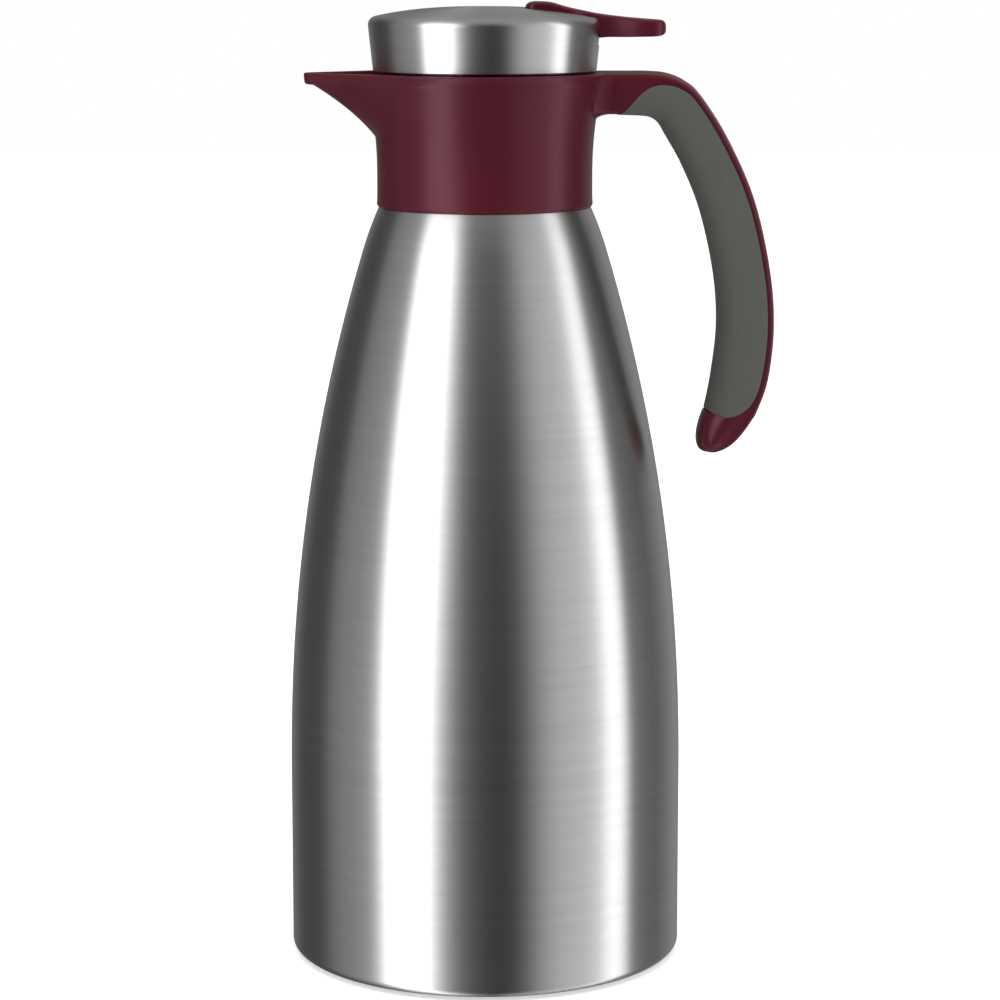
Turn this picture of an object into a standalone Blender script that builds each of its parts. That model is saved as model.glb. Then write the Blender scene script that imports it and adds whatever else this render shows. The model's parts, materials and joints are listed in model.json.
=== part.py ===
"""Insulated pouring jug with a thumb-lever stopper, as a Blender script.

Frame: +Z up, +X towards the handle, -X towards the spout. The origin is the centre of the base pad's
resting face, on the jug's axis. Constants and outlines are in millimetres and become metres when meshed.
"""

import math

import bmesh
import bpy
from mathutils import Vector

MM = 0.001
GAP = 0.3                       # clearance between pieces that touch on the real jug

# Steel vessel
BELLY_R = 60.1                  # straight lower part of the body
BELLY_TOP_Z = 56.0              # the taper starts here
SHOULDER_Z = 230.2              # the taper ends here, under the collar
SHOULDER_DROP = 27.2            # how much radius the taper loses
TAPER_POWER = 2.1
TUCK_FROM_Z = 218.0             # the last stretch draws in a little more
TUCK = 0.7
SHELL_WALL = 0.7
NECK_R = 28.1                   # outer shell's neck, hidden in the collar
NECK_TOP_Z = 256.0
BASE_EDGE_Z = 0.6               # steel rim, held just off the table by the pad
BASE_CORNER_R = 2.6
BASE_LIP_R = 54.0               # inner edge of the rolled foot
PAD_R = 46.4
VACUUM_OFFSET = 6.1             # liner's inner face inside the shell's outer face
LINER_WALL = 0.6
LINER_NECK_R = 26.5
LINER_FLOOR_Z = 14.0
LINER_CORNER_R = 16.0
MOUTH_Z = 256.9                 # top of the rolled mouth

# Collar with its spout
COLLAR_BOTTOM_Z = 230.7
COLLAR_RIM_Z = 270.7
COLLAR_R = 32.5
COLLAR_FLARE = 4.2
COLLAR_FLARE_FROM_Z = 240.0
COLLAR_INNER_R = 31.0
BORE_R = 31.6                   # upper bore that the stopper drops into
LEDGE_Z = 260.0
LEDGE_R = 26.9
LEDGE_THICK = 1.5
SPOUT_START_Z = 251.7
SPOUT_TIP_Z = 267.2
SPOUT_REACH = 54.4
SPOUT_TIP_R = 5.0
CHANNEL_TIP_R = 3.2
CHANNEL_WALL = 2.4              # measured upwards from the spout's underside

# Screws that hold the handle
SCREW_SIDES = (("left", 4.5), ("right", -4.5))
SCREW_Z = 263.6
SCREW_R = 1.4
SCREW_HEAD_R = 2.3
SCREW_SEAT_X = 32.8             # bottom of the recess in the collar's wall
SCREW_END_X = 43.0

# Lid
LID_BOTTOM_Z = 271.4
LID_BOTTOM_R = 33.6
LID_TOP_R = 35.6
LID_CROWN_Z = 290.4
LID_CROWN_DROP = 3.0
LID_EDGE_R = 33.6
CROWN_POWER = 2.6
COVER_WALL = 0.6

# Stopper
PLUG_R = 25.4
PLUG_WALL = 1.8
PLUG_BOTTOM_Z = 238.6
PLUG_TOP_Z = 270.4
PLUG_FLOOR_Z = 241.6            # top face of the floor, the valve's seat
LUG_TURN_DEG = 100.0            # spacing of the side lugs from the rear lug
LUG_SPAN_DEG = 24.0
LUG_R = 29.4

# Lever and valve
PIVOT_X = 26.0
PIVOT_Z = 281.0
PIN_R = 1.25
LEVER_HALF_WIDTH = 7.0
LEVER_FRONT_X = 12.0
STEM_R = 2.0
NOSE_R = 3.0                    # rounded tips of the lever's fork
NOSE_Z = 277.9
SPRING_R = 5.6
SPRING_WIRE_R = 0.45
SPRING_TURNS = 6

SHELL_SEGMENTS = 40
RING_SEGMENTS = 32
SMALL_SEGMENTS = 20


# ---------------------------------------------------------------- materials

def make_material(name, colour, roughness, metallic=0.0):
    material = bpy.data.materials.new(name)
    material.use_nodes = True
    shader = material.node_tree.nodes["Principled BSDF"]
    shader.inputs["Base Color"].default_value = (*colour, 1.0)
    shader.inputs["Roughness"].default_value = roughness
    shader.inputs["Metallic"].default_value = metallic
    return material


def make_materials():
    return {
        "brushed_steel": make_material("brushed_steel", (0.62, 0.62, 0.61), 0.3, 1.0),
        "liner_steel": make_material("liner_steel", (0.66, 0.66, 0.65), 0.2, 1.0),
        "spring_steel": make_material("spring_steel", (0.55, 0.55, 0.56), 0.25, 1.0),
        "maroon_plastic": make_material("maroon_plastic", (0.10, 0.018, 0.03), 0.42),
        "soft_grip": make_material("soft_grip", (0.10, 0.105, 0.095), 0.6),
        "dark_plastic": make_material("dark_plastic", (0.03, 0.03, 0.032), 0.45),
        "pale_plastic": make_material("pale_plastic", (0.6, 0.6, 0.57), 0.45),
        "silicone": make_material("silicone", (0.5, 0.5, 0.48), 0.55),
        "base_rubber": make_material("base_rubber", (0.03, 0.03, 0.03), 0.7),
    }


# ---------------------------------------------------------------- shape helpers

def rounded(corners, steps=3):
    """An outline whose corners (x, z, radius) are arcs; a corner with no radius stays sharp."""
    outline = []
    for i, corner in enumerate(corners):
        here = Vector(corner[:2])
        if len(corner) < 3:
            outline.append(tuple(here))
            continue
        to_last = (Vector(corners[i - 1][:2]) - here).normalized()
        to_next = (Vector(corners[(i + 1) % len(corners)][:2]) - here).normalized()
        half = math.acos(max(-1.0, min(1.0, to_last.dot(to_next)))) / 2
        centre = here + (to_last + to_next).normalized() * (corner[2] / math.sin(half))
        start = here + to_last * (corner[2] / math.tan(half)) - centre
        end = here + to_next * (corner[2] / math.tan(half)) - centre
        for k in range(steps + 1):
            arm = start.lerp(end, k / steps).normalized() * corner[2]
            outline.append(tuple(centre + arm))
    return outline


def signed_area(outline):
    following = outline[1:] + outline[:1]
    return sum(a[0] * b[1] - b[0] * a[1] for a, b in zip(outline, following)) / 2


def turned(name, outline, segments, wall=None):
    """An (r, z) outline swept round Z.

    A closed outline makes a ring, or a solid if both its ends are on the axis. With a wall, the outline
    is an open line down the outer side, and the surface it sweeps is thickened inwards.
    """
    solid = outline[0][0] == 0 and outline[-1][0] == 0
    if wall is None and signed_area(outline) > 0:
        outline = outline[::-1]
    count = len(outline)
    closed = wall is None and not solid
    edges = [(i, (i + 1) % count) for i in range(count if closed else count - 1)]
    mesh = bpy.data.meshes.new(name)
    mesh.from_pydata([(r * MM, 0.0, z * MM) for r, z in outline], edges, [])
    piece = bpy.data.objects.new(name, mesh)
    screw = piece.modifiers.new("turn", "SCREW")
    screw.axis = "Z"
    screw.steps = segments
    screw.render_steps = segments
    screw.use_merge_vertices = True
    screw.merge_threshold = 1e-6
    screw.use_smooth_shade = True
    if wall is not None:
        sheet = piece.modifiers.new("wall", "SOLIDIFY")
        sheet.thickness = wall * MM
        sheet.offset = -1.0
        sheet.use_even_offset = True
    return piece


def lofted(name, sections):
    """A closed solid through loops of equal point counts, with a flat cap at each end."""
    mesh = bpy.data.meshes.new(name)
    body = bmesh.new()
    rings = [[body.verts.new([c * MM for c in point]) for point in loop] for loop in sections]
    count = len(rings[0])
    for ring, following in zip(rings, rings[1:]):
        for i in range(count):
            j = (i + 1) % count
            body.faces.new((ring[i], ring[j], following[j], following[i]))
    body.faces.new(rings[0][::-1])
    body.faces.new(rings[-1])
    bmesh.ops.recalc_face_normals(body, faces=body.faces)
    body.to_mesh(mesh)
    body.free()
    return bpy.data.objects.new(name, mesh)


def box(name, low, high):
    mesh = bpy.data.meshes.new(name)
    body = bmesh.new()
    bmesh.ops.create_cube(body, size=1.0)
    low, high = Vector(low) * MM, Vector(high) * MM
    for vertex in body.verts:
        vertex.co = [(low[k] + high[k]) / 2 + vertex.co[k] * (high[k] - low[k]) for k in range(3)]
    body.to_mesh(mesh)
    body.free()
    return bpy.data.objects.new(name, mesh)


def rod(name, radius, start, end, segments=SMALL_SEGMENTS):
    """A cylinder between two points."""
    start, end = Vector(start) * MM, Vector(end) * MM
    mesh = bpy.data.meshes.new(name)
    body = bmesh.new()
    bmesh.ops.create_cone(
        body, cap_ends=True, segments=segments, radius1=radius * MM, radius2=radius * MM,
        depth=(end - start).length,
    )
    turn = Vector((0, 0, 1)).rotation_difference(end - start).to_matrix()
    for vertex in body.verts:
        vertex.co = turn @ vertex.co + (start + end) / 2
    body.to_mesh(mesh)
    body.free()
    return bpy.data.objects.new(name, mesh)


def slab(name, outline, low_y, high_y):
    """A flat (x, z) outline extruded along Y."""
    mesh = bpy.data.meshes.new(name)
    body = bmesh.new()
    face = body.faces.new([body.verts.new((x * MM, low_y * MM, z * MM)) for x, z in outline])
    grown = bmesh.ops.extrude_face_region(body, geom=[face])["geom"]
    moved = [part for part in grown if isinstance(part, bmesh.types.BMVert)]
    bmesh.ops.translate(body, verts=moved, vec=(0.0, (high_y - low_y) * MM, 0.0))
    bmesh.ops.recalc_face_normals(body, faces=body.faces)
    body.to_mesh(mesh)
    body.free()
    return bpy.data.objects.new(name, mesh)


def sector(name, inner_r, outer_r, low_z, high_z, middle_deg, span_deg, steps=3):
    """A block between two radii and two heights that follows part of a circle."""
    loops = []
    for k in range(steps + 1):
        angle = math.radians(middle_deg + span_deg * (k / steps - 0.5))
        corners = ((inner_r, low_z), (outer_r, low_z), (outer_r, high_z), (inner_r, high_z))
        loops.append([(r * math.cos(angle), r * math.sin(angle), z) for r, z in corners])
    return lofted(name, loops)


def combine(piece, tool, operation, helpers):
    """Cuts the tool from the piece or joins it on, and keeps the tool as a hidden helper."""
    change = piece.modifiers.new(operation.lower() + "_" + tool.name, "BOOLEAN")
    change.operation = operation
    change.object = tool
    helpers.append(tool)


def smooth(points, steps):
    """Points along a Catmull-Rom curve through the given rows of numbers."""
    rows = []
    last = len(points) - 1
    for i in range(last):
        p0, p1 = points[max(i - 1, 0)], points[i]
        p2, p3 = points[i + 1], points[min(i + 2, last)]
        for k in range(steps):
            t = k / steps
            rows.append([
                0.5 * (2 * b + (c - a) * t + (2 * a - 5 * b + 4 * c - d) * t**2
                       + (3 * b - a - 3 * c + d) * t**3)
                for a, b, c, d in zip(p0, p1, p2, p3)
            ])
    rows.append(list(points[last]))
    return rows


# ---------------------------------------------------------------- vessel

def body_radius(z):
    """Outer radius of the shell: straight at the bottom, then drawn in towards the collar."""
    share = max(0.0, (z - BELLY_TOP_Z) / (SHOULDER_Z - BELLY_TOP_Z))
    last = max(0.0, (z - TUCK_FROM_Z) / (SHOULDER_Z - TUCK_FROM_Z))
    return BELLY_R - SHOULDER_DROP * share**TAPER_POWER - TUCK * last**2


def levels(low, high, count):
    """Evenly spaced values from one end to the other."""
    return [low + (high - low) * k / (count - 1) for k in range(count)]


def outer_shell():
    """Body shell, open at the neck and at the base, where the base plate closes it."""
    edge = SHOULDER_Z
    line = [(NECK_R, NECK_TOP_Z), (NECK_R, edge + 2.8), (NECK_R + 0.7, edge + 1.2)]
    line += [(NECK_R + 2.2, edge + 0.3), (body_radius(edge), edge)]
    line += [(body_radius(z), z) for z in levels(224.0, BELLY_TOP_Z, 7)]
    line += rounded([
        (BELLY_R, BELLY_TOP_Z), (BELLY_R, BASE_EDGE_Z, BASE_CORNER_R), (BASE_LIP_R, BASE_EDGE_Z)])[1:]
    return turned("outer_shell", line, SHELL_SEGMENTS, SHELL_WALL)


def inner_liner():
    """Liner with a dished corner at its floor and a rolled bead over the shell's neck."""
    wall = LINER_WALL
    neck = LINER_NECK_R + wall
    under = MOUTH_Z - wall
    line = [(neck + 1.7, MOUTH_Z - 2.0), (neck + 1.7, under), (neck, under), (neck, 231.0)]
    line += [(body_radius(z) - VACUUM_OFFSET + wall, z) for z in levels(224.0, BELLY_TOP_Z, 6)]
    wide = BELLY_R - VACUUM_OFFSET + wall
    floor = LINER_FLOOR_Z - wall
    line += rounded([(wide, BELLY_TOP_Z), (wide, floor, LINER_CORNER_R), (0.0, floor)], steps=4)[1:]
    return turned("inner_liner", line, SHELL_SEGMENTS, wall)


def base_pieces():
    """Welded base plate, the seal over its vacuum port, the getter and the non-slip pad."""
    low = BASE_EDGE_Z
    plate = turned("base_plate", [
        (BASE_LIP_R - GAP, low), (49.8, low), (47.2, low + 3.5), (8.3, low + 3.5), (7.3, low + 4.4),
        (0.0, low + 4.4)], RING_SEGMENTS, SHELL_WALL)
    seal = turned("vacuum_port_seal", [(0.0, 4.7), (5.0, 4.7), (5.0, 3.9), (0.0, 3.9)],
                  SMALL_SEGMENTS)
    pad = turned("base_pad", rounded(
        [(0.0, 3.5), (PAD_R, 3.5), (PAD_R, 0.0, 0.8), (0.0, 0.0)], steps=2), RING_SEGMENTS)
    top = LINER_FLOOR_Z - LINER_WALL - GAP
    getter = turned("getter_tablet", [(0.0, top), (6.0, top), (6.0, top - 2.2), (0.0, top - 2.2)],
                    SMALL_SEGMENTS)
    getter.location.x = 22.0 * MM
    return {plate: "brushed_steel", seal: "spring_steel", pad: "base_rubber", getter: "spring_steel"}


# ---------------------------------------------------------------- collar and spout

def collar_radius(z):
    share = max(0.0, (z - COLLAR_FLARE_FROM_Z) / (COLLAR_RIM_Z - COLLAR_FLARE_FROM_Z))
    return COLLAR_R + COLLAR_FLARE * share**2.3


def spout_reach(z):
    """Distance from the axis to the spout's underside, which sweeps out as it rises."""
    rise = max(0.0, z - SPOUT_START_Z)
    return 33.2 + 0.8 * rise + 0.024 * rise**2


def beak_radius(angle, circle_r, reach, tip_r):
    """Radius at an angle from the spout of the hull round a circle and a smaller tip circle."""
    centre = reach - tip_r
    if centre <= circle_r - tip_r + 1e-6:
        return circle_r
    tangent = math.acos((circle_r - tip_r) / centre)
    if angle >= tangent:
        return circle_r
    tip_angle = math.atan2(tip_r * math.sin(tangent), centre + tip_r * math.cos(tangent))
    if angle >= tip_angle:
        return circle_r / math.cos(angle - tangent)
    return centre * math.cos(angle) + math.sqrt(tip_r**2 - (centre * math.sin(angle)) ** 2)


def collar_levels():
    """(z, circle radius, spout reach, tip radius) up the outside and then down the inside."""
    rim, low = COLLAR_RIM_Z, COLLAR_BOTTOM_Z
    rows = [(low, COLLAR_R + 0.1, 0, SPOUT_TIP_R), (low + 0.5, COLLAR_R + 0.5, 0, SPOUT_TIP_R)]
    rows += [(z, collar_radius(z), 0, SPOUT_TIP_R) for z in (low + 3.0, 241.0, 247.0)]
    rows += [(z, collar_radius(z), spout_reach(z), SPOUT_TIP_R)
             for z in levels(SPOUT_START_Z, SPOUT_TIP_Z - 0.1, 5)]
    rows += [(SPOUT_TIP_Z + 0.1, collar_radius(SPOUT_TIP_Z), SPOUT_REACH - 0.3, SPOUT_TIP_R)]
    rows += [(rim - 0.5, collar_radius(rim), SPOUT_REACH, SPOUT_TIP_R)]
    rows += [(rim, collar_radius(rim) - 0.5, SPOUT_REACH - 0.5, SPOUT_TIP_R - 0.5)]
    rows += [(rim, BORE_R + 0.4, SPOUT_REACH - 1.3, CHANNEL_TIP_R + 0.4)]
    rows += [(z, BORE_R, spout_reach(z - CHANNEL_WALL), CHANNEL_TIP_R)
             for z in (rim - 0.4, 267.5, 264.0, LEDGE_Z)]
    under = LEDGE_Z - LEDGE_THICK
    rows += [(LEDGE_Z, LEDGE_R, 0, 0), (under, LEDGE_R, 0, 0)]
    rows += [(under, COLLAR_INNER_R, 0, 0), (low, COLLAR_INNER_R, 0, 0)]
    return rows


def collar(helpers):
    """Neck collar with the pouring spout, three inner lugs and holes for the handle's screws."""
    half = [0, 2, 4, 6, 9, 13, 18, 25, 33, 41, 50, 59, 68, 77, 87, 97, 107, 117, 127, 138]
    half += [149, 160, 170]
    angles = half + [180] + [360 - a for a in reversed(half[1:])]
    rows = collar_levels()
    columns = []
    for degrees in angles:
        from_spout = math.radians(min(degrees, 360 - degrees))
        azimuth = math.radians(180 + degrees)
        column = []
        for z, circle, reach, tip in rows:
            r = beak_radius(from_spout, circle, reach, tip)
            column.append((r * math.cos(azimuth), r * math.sin(azimuth), z))
        columns.append(column)
    mesh = bpy.data.meshes.new("collar")
    body = bmesh.new()
    grid = [[body.verts.new([c * MM for c in point]) for point in column] for column in columns]
    for i, column in enumerate(grid):
        following = grid[(i + 1) % len(grid)]
        for j in range(len(rows)):
            k = (j + 1) % len(rows)
            body.faces.new((column[j], following[j], following[k], column[k]))
    bmesh.ops.recalc_face_normals(body, faces=body.faces)
    body.to_mesh(mesh)
    body.free()
    piece = bpy.data.objects.new("collar", mesh)
    for name, middle in (("rear", 0.0), ("left", LUG_TURN_DEG), ("right", -LUG_TURN_DEG)):
        lug = sector("collar_lug_" + name, LUG_R + GAP, BORE_R + 0.9, 266.8, 269.0, middle,
                     LUG_SPAN_DEG)
        combine(piece, lug, "UNION", helpers)
    for name, y in SCREW_SIDES:
        recess = rod("collar_recess_" + name, SCREW_HEAD_R + GAP, (29.0, y, SCREW_Z),
                     (SCREW_SEAT_X, y, SCREW_Z))
        hole = rod("collar_hole_" + name, SCREW_R + GAP, (29.0, y, SCREW_Z), (45.0, y, SCREW_Z), 16)
        combine(piece, recess, "DIFFERENCE", helpers)
        combine(piece, hole, "DIFFERENCE", helpers)
    return piece


def neck_pieces():
    """Gasket between the collar's ledge and the mouth, and the ring that locks the collar."""
    gasket_top = LEDGE_Z - LEDGE_THICK - GAP
    gasket = turned("neck_gasket", [
        (27.1, gasket_top), (29.3, gasket_top), (29.3, MOUTH_Z + GAP), (27.1, MOUTH_Z + GAP)],
        RING_SEGMENTS)
    ring = turned("neck_lock_ring", [
        (28.4, 254.4), (30.6, 254.4), (30.6, 247.0), (29.6, 246.2), (28.4, 246.2)], RING_SEGMENTS)
    return {gasket: "silicone", ring: "dark_plastic"}


# ---------------------------------------------------------------- handle

# Stations along the handle: outer x, z, inner x, z, half width, depth of the spine at the sides,
# half width of the core, depth of the core.
HANDLE_STATIONS = (
    (30.0, 271.2, 30.0, 258.4, 10.5, 10.5, 8.6, 12.8),
    (34.5, 271.3, 34.5, 258.4, 9.4, 10.6, 7.6, 12.9),
    (38.6, 271.3, 38.6, 258.4, 8.7, 10.6, 7.0, 12.9),
    (39.4, 271.3, 39.2, 258.2, 8.7, 12.2, 6.6, 12.25),
    (43.6, 271.3, 43.0, 258.1, 9.0, 9.0, 6.0, 10.8),
    (48.8, 271.2, 46.8, 258.0, 9.5, 5.0, 5.8, 10.8),
    (54.4, 270.7, 49.6, 257.6, 10.2, 3.3, 5.9, 11.5),
    (59.8, 268.5, 52.0, 256.0, 10.8, 2.8, 6.1, 12.2),
    (64.9, 264.0, 54.0, 252.8, 11.3, 2.6, 6.3, 12.8),
    (73.2, 251.1, 59.4, 243.2, 11.9, 2.3, 6.6, 13.0),
    (81.3, 233.1, 65.0, 229.4, 12.2, 2.2, 6.8, 13.6),
    (86.3, 212.0, 69.2, 211.0, 12.1, 2.2, 6.7, 13.8),
    (87.8, 194.5, 70.4, 195.0, 11.7, 2.3, 6.5, 14.0),
    (86.1, 177.4, 68.6, 179.0, 11.0, 2.6, 6.1, 13.8),
    (83.0, 168.6, 67.0, 169.2, 10.4, 3.4, 5.8, 12.6),
)
HANDLE_TIP_STATIONS = (
    (82.7, 168.0, 66.8, 168.5, 10.3, 3.5, 5.8, 12.6),
    (82.6, 167.8, 66.7, 168.3, 10.3, 12.6, 8.9, 15.8),
    (80.4, 163.9, 65.2, 165.2, 9.7, 12.0, 8.4, 15.2),
    (77.0, 159.6, 64.4, 161.2, 8.8, 10.0, 7.6, 12.6),
    (73.0, 156.5, 64.7, 157.9, 7.4, 6.8, 6.2, 8.3),
    (69.2, 155.4, 65.6, 156.2, 5.0, 2.9, 4.0, 3.5),
)
SPINE_CROWN = 1.3


def station_point(station, depth, y):
    """A point at a depth below the outer edge and a sideways distance, on one station."""
    outer, inner = Vector(station[0:2]), Vector(station[2:4])
    spot = outer + (inner - outer).normalized() * depth
    return (spot.x, y, spot.y)


def frame_section(station):
    """Crowned spine with a narrower core under it."""
    width, spine, core, core_depth = station[4:8]
    crown = min(SPINE_CROWN, 0.4 * spine)
    half = [(0.0, 0.0), (0.12 * crown, 0.4 * width), (0.45 * crown, 0.75 * width), (crown, width)]
    half += [(spine, width), (spine + 0.05, core), (core_depth, core - 0.6)]
    loop = half + [(depth, -y) for depth, y in reversed(half[1:])]
    return [station_point(station, depth, y) for depth, y in loop]


def grip_section(station):
    """Channel of soft rubber round the core, full width at the spine and rounded inside."""
    width, spine, core, core_depth = station[4:8]
    full = (Vector(station[0:2]) - Vector(station[2:4])).length
    top = spine + GAP
    outside = [(top, width), (top + 0.45 * (full - top), 0.98 * width)]
    outside += [(top + 0.78 * (full - top), 0.84 * width), (full - 0.3, 0.5 * width), (full, 0.0)]
    inside = [(core_depth + GAP, core - 0.2), (top, core + GAP)]
    loop = outside + [(depth, -y) for depth, y in reversed(outside[:-1])]
    loop += [(depth, -y) for depth, y in reversed(inside)] + inside
    return [station_point(station, depth, y) for depth, y in loop]


def handle_pieces(helpers):
    """Handle moulding that keys into the collar, and the soft grip wrapped round its core."""
    stations = smooth(HANDLE_STATIONS[3:], 2)
    whole = list(HANDLE_STATIONS[:3]) + stations + list(HANDLE_TIP_STATIONS)
    frame = lofted("handle_frame", [frame_section(s) for s in whole])
    outside = [(0.0, 274.0), (collar_radius(COLLAR_RIM_Z) + GAP, 274.0)]
    outside += [(collar_radius(z) + GAP, z) for z in (COLLAR_RIM_Z, 266.0, 261.0, 256.0)]
    outside += [(0.0, 256.0)]
    combine(frame, turned("collar_clearance", outside, SHELL_SEGMENTS), "DIFFERENCE", helpers)
    for name, y in SCREW_SIDES:
        hole = rod("handle_hole_" + name, SCREW_R + GAP, (30.0, y, SCREW_Z),
                   (SCREW_END_X + GAP, y, SCREW_Z), 16)
        combine(frame, hole, "DIFFERENCE", helpers)
    grip = lofted("handle_grip", [grip_section(s) for s in stations])
    return {frame: "maroon_plastic", grip: "soft_grip"}


def handle_screw(name, y):
    """Screw driven from inside the collar, its head sunk in the collar's wall."""
    seat = SCREW_SEAT_X - GAP
    length = SCREW_END_X - seat
    screw = turned("handle_screw_" + name, [
        (0.0, 1.2), (SCREW_HEAD_R - 0.4, 1.2), (SCREW_HEAD_R, 0.8), (SCREW_HEAD_R, 0.0),
        (SCREW_R, 0.0), (SCREW_R, 1.0 - length), (SCREW_R - 0.7, -length), (0.0, -length)], 12)
    screw.rotation_euler.y = -math.pi / 2
    screw.location = Vector((seat, y, SCREW_Z)) * MM
    return screw


# ---------------------------------------------------------------- lid

def crown_z(r):
    return LID_CROWN_Z - LID_CROWN_DROP * (r / LID_EDGE_R) ** CROWN_POWER


def lever_slot(name, margin, floor_z):
    """Cutter for the opening that the lever rocks in, through the crown and the rear wall."""
    width = LEVER_HALF_WIDTH + margin
    return box(name, (LEVER_FRONT_X - margin, -width, floor_z), (45.0, width, 300.0))


def lid_cover(helpers):
    """Drawn steel cover: flared side, rounded edge and low crown, slotted for the lever."""
    line = [(r, crown_z(r)) for r in (0.0, 12.0, 20.0, 26.0, 30.0, 33.2)]
    line += [(34.8, 286.5), (LID_TOP_R, 284.9), (LID_TOP_R - 0.1, 283.0)]
    line += [(LID_TOP_R - 0.8, 278.0), (LID_BOTTOM_R, LID_BOTTOM_Z)]
    cover = turned("lid_cover", line, SHELL_SEGMENTS, COVER_WALL)
    combine(cover, lever_slot("cover_slot", 0.7, 278.8), "DIFFERENCE", helpers)
    return cover


def lid_body(helpers):
    """Plastic cup under the cover: floor, guide for the stem, ears for the lever's pin."""
    low = LID_BOTTOM_Z - 0.4
    bore = STEM_R + 0.35
    cup = turned("lid_body", [
        (bore, low + 3.2), (5.2, low + 3.2), (5.2, low + 2.0), (31.0, low + 2.0),
        (32.4, 284.2), (33.9, 284.2), (33.6, 279.0), (32.5, LID_BOTTOM_Z + 0.2), (32.5, low),
        (23.2, low), (23.2, low - 4.6), (21.4, low - 4.6), (21.4, low), (8.4, low),
        (8.4, low - 1.6), (6.8, low - 1.6), (6.8, low), (bore, low), (bore, low + 0.4),
        (4.1, low + 0.4), (4.1, low + 2.2), (bore, low + 2.2),
    ], RING_SEGMENTS)
    for name, side in (("left", 1), ("right", -1)):
        inner = LEVER_HALF_WIDTH + 0.5
        near, far = sorted((side * inner, side * (inner + 2.4)))
        ear = slab("lid_ear_" + name, [
            (PIVOT_X - 5.0, low + 1.0), (PIVOT_X + 5.0, low + 1.0), (PIVOT_X + 3.6, PIVOT_Z + 1.6),
            (PIVOT_X + 1.6, PIVOT_Z + 3.4), (PIVOT_X - 1.6, PIVOT_Z + 3.4),
            (PIVOT_X - 3.6, PIVOT_Z + 1.6)], near, far)
        combine(cup, ear, "UNION", helpers)
    width = LEVER_HALF_WIDTH + 0.7
    notch = box("lid_body_notch", (PIVOT_X + 3.0, -width + 0.5, 278.4), (45.0, width - 0.5, 300.0))
    combine(cup, notch, "DIFFERENCE", helpers)
    reach = LEVER_HALF_WIDTH + 4.0
    hole = rod("lid_pin_hole", PIN_R + GAP, (PIVOT_X, -reach, PIVOT_Z), (PIVOT_X, reach, PIVOT_Z), 16)
    combine(cup, hole, "DIFFERENCE", helpers)
    return cup


def stopper_plug(helpers):
    """Lower cup of the stopper: valve seat, gasket groove, pouring windows and locking lugs."""
    inner = PLUG_R - PLUG_WALL
    plug = turned("stopper_plug", rounded([
        (inner, PLUG_TOP_Z), (PLUG_R, PLUG_TOP_Z), (PLUG_R, 254.0), (24.3, 253.8), (24.3, 249.7),
        (PLUG_R, 249.5), (PLUG_R, PLUG_BOTTOM_Z, 1.2), (inner - 1.0, PLUG_BOTTOM_Z),
        (inner - 1.8, PLUG_FLOOR_Z - 2.0), (7.5, PLUG_FLOOR_Z - 2.0), (7.5, PLUG_FLOOR_Z),
        (inner - 0.6, PLUG_FLOOR_Z), (inner - 0.6, 255.4), (inner, 256.4)], steps=2),
        RING_SEGMENTS)
    for name, middle in (("rear", 0.0), ("left", LUG_TURN_DEG), ("right", -LUG_TURN_DEG)):
        lug = sector("plug_lug_" + name, PLUG_R - 0.8, LUG_R, 263.6, 266.2, middle, LUG_SPAN_DEG)
        combine(plug, lug, "UNION", helpers)
    for name, middle in (("front", 180.0), ("left", 150.0), ("right", 210.0)):
        window = sector("plug_window_" + name, 20.0, 29.0, 260.6, 265.4, middle, 22.0)
        combine(plug, window, "DIFFERENCE", helpers)
    return plug


def stopper_gasket():
    """Ribbed silicone ring that seals the plug in the liner's neck."""
    return turned("stopper_gasket", [
        (24.6, 253.5), (25.6, 253.5), (26.2, 253.0), (25.7, 252.2), (26.2, 251.4),
        (25.7, 250.7), (24.6, 250.0)], RING_SEGMENTS)


# ---------------------------------------------------------------- lever and valve

# Stations along the thumb lever: x, top z, bottom z, half width.
LEVER_STATIONS = (
    (12.0, 288.9, 284.0, 4.6),
    (12.6, 291.0, 282.6, 6.0),
    (14.6, 291.9, 280.4, 6.8),
    (18.5, 291.8, 278.6, LEVER_HALF_WIDTH),
    (24.0, 290.5, 277.8, LEVER_HALF_WIDTH),
    (29.1, 289.3, 278.4, LEVER_HALF_WIDTH),
    (33.0, 288.6, 280.8, LEVER_HALF_WIDTH),
    (36.0, 288.1, 281.4, LEVER_HALF_WIDTH),
    (46.1, 286.9, 281.4, LEVER_HALF_WIDTH),
    (50.5, 286.5, 281.6, 6.8),
    (53.0, 286.1, 282.0, 5.8),
    (54.2, 285.2, 283.0, 3.8),
)


def lever_section(x, top, bottom, width):
    """Flat-sided section with rounded upper edges, as a loop of (x, y, z)."""
    edge = min(1.1, 0.3 * (top - bottom))
    half = [(0.0, top), (width - 2.2 * edge, top - 0.1 * edge), (width - 0.6 * edge, top - 0.5 * edge)]
    half += [(width, top - 1.6 * edge), (width, bottom + 0.4), (width - 0.4, bottom)]
    loop = half + [(-y, z) for y, z in reversed(half[1:])]
    return [(x, y, z) for y, z in loop]


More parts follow.
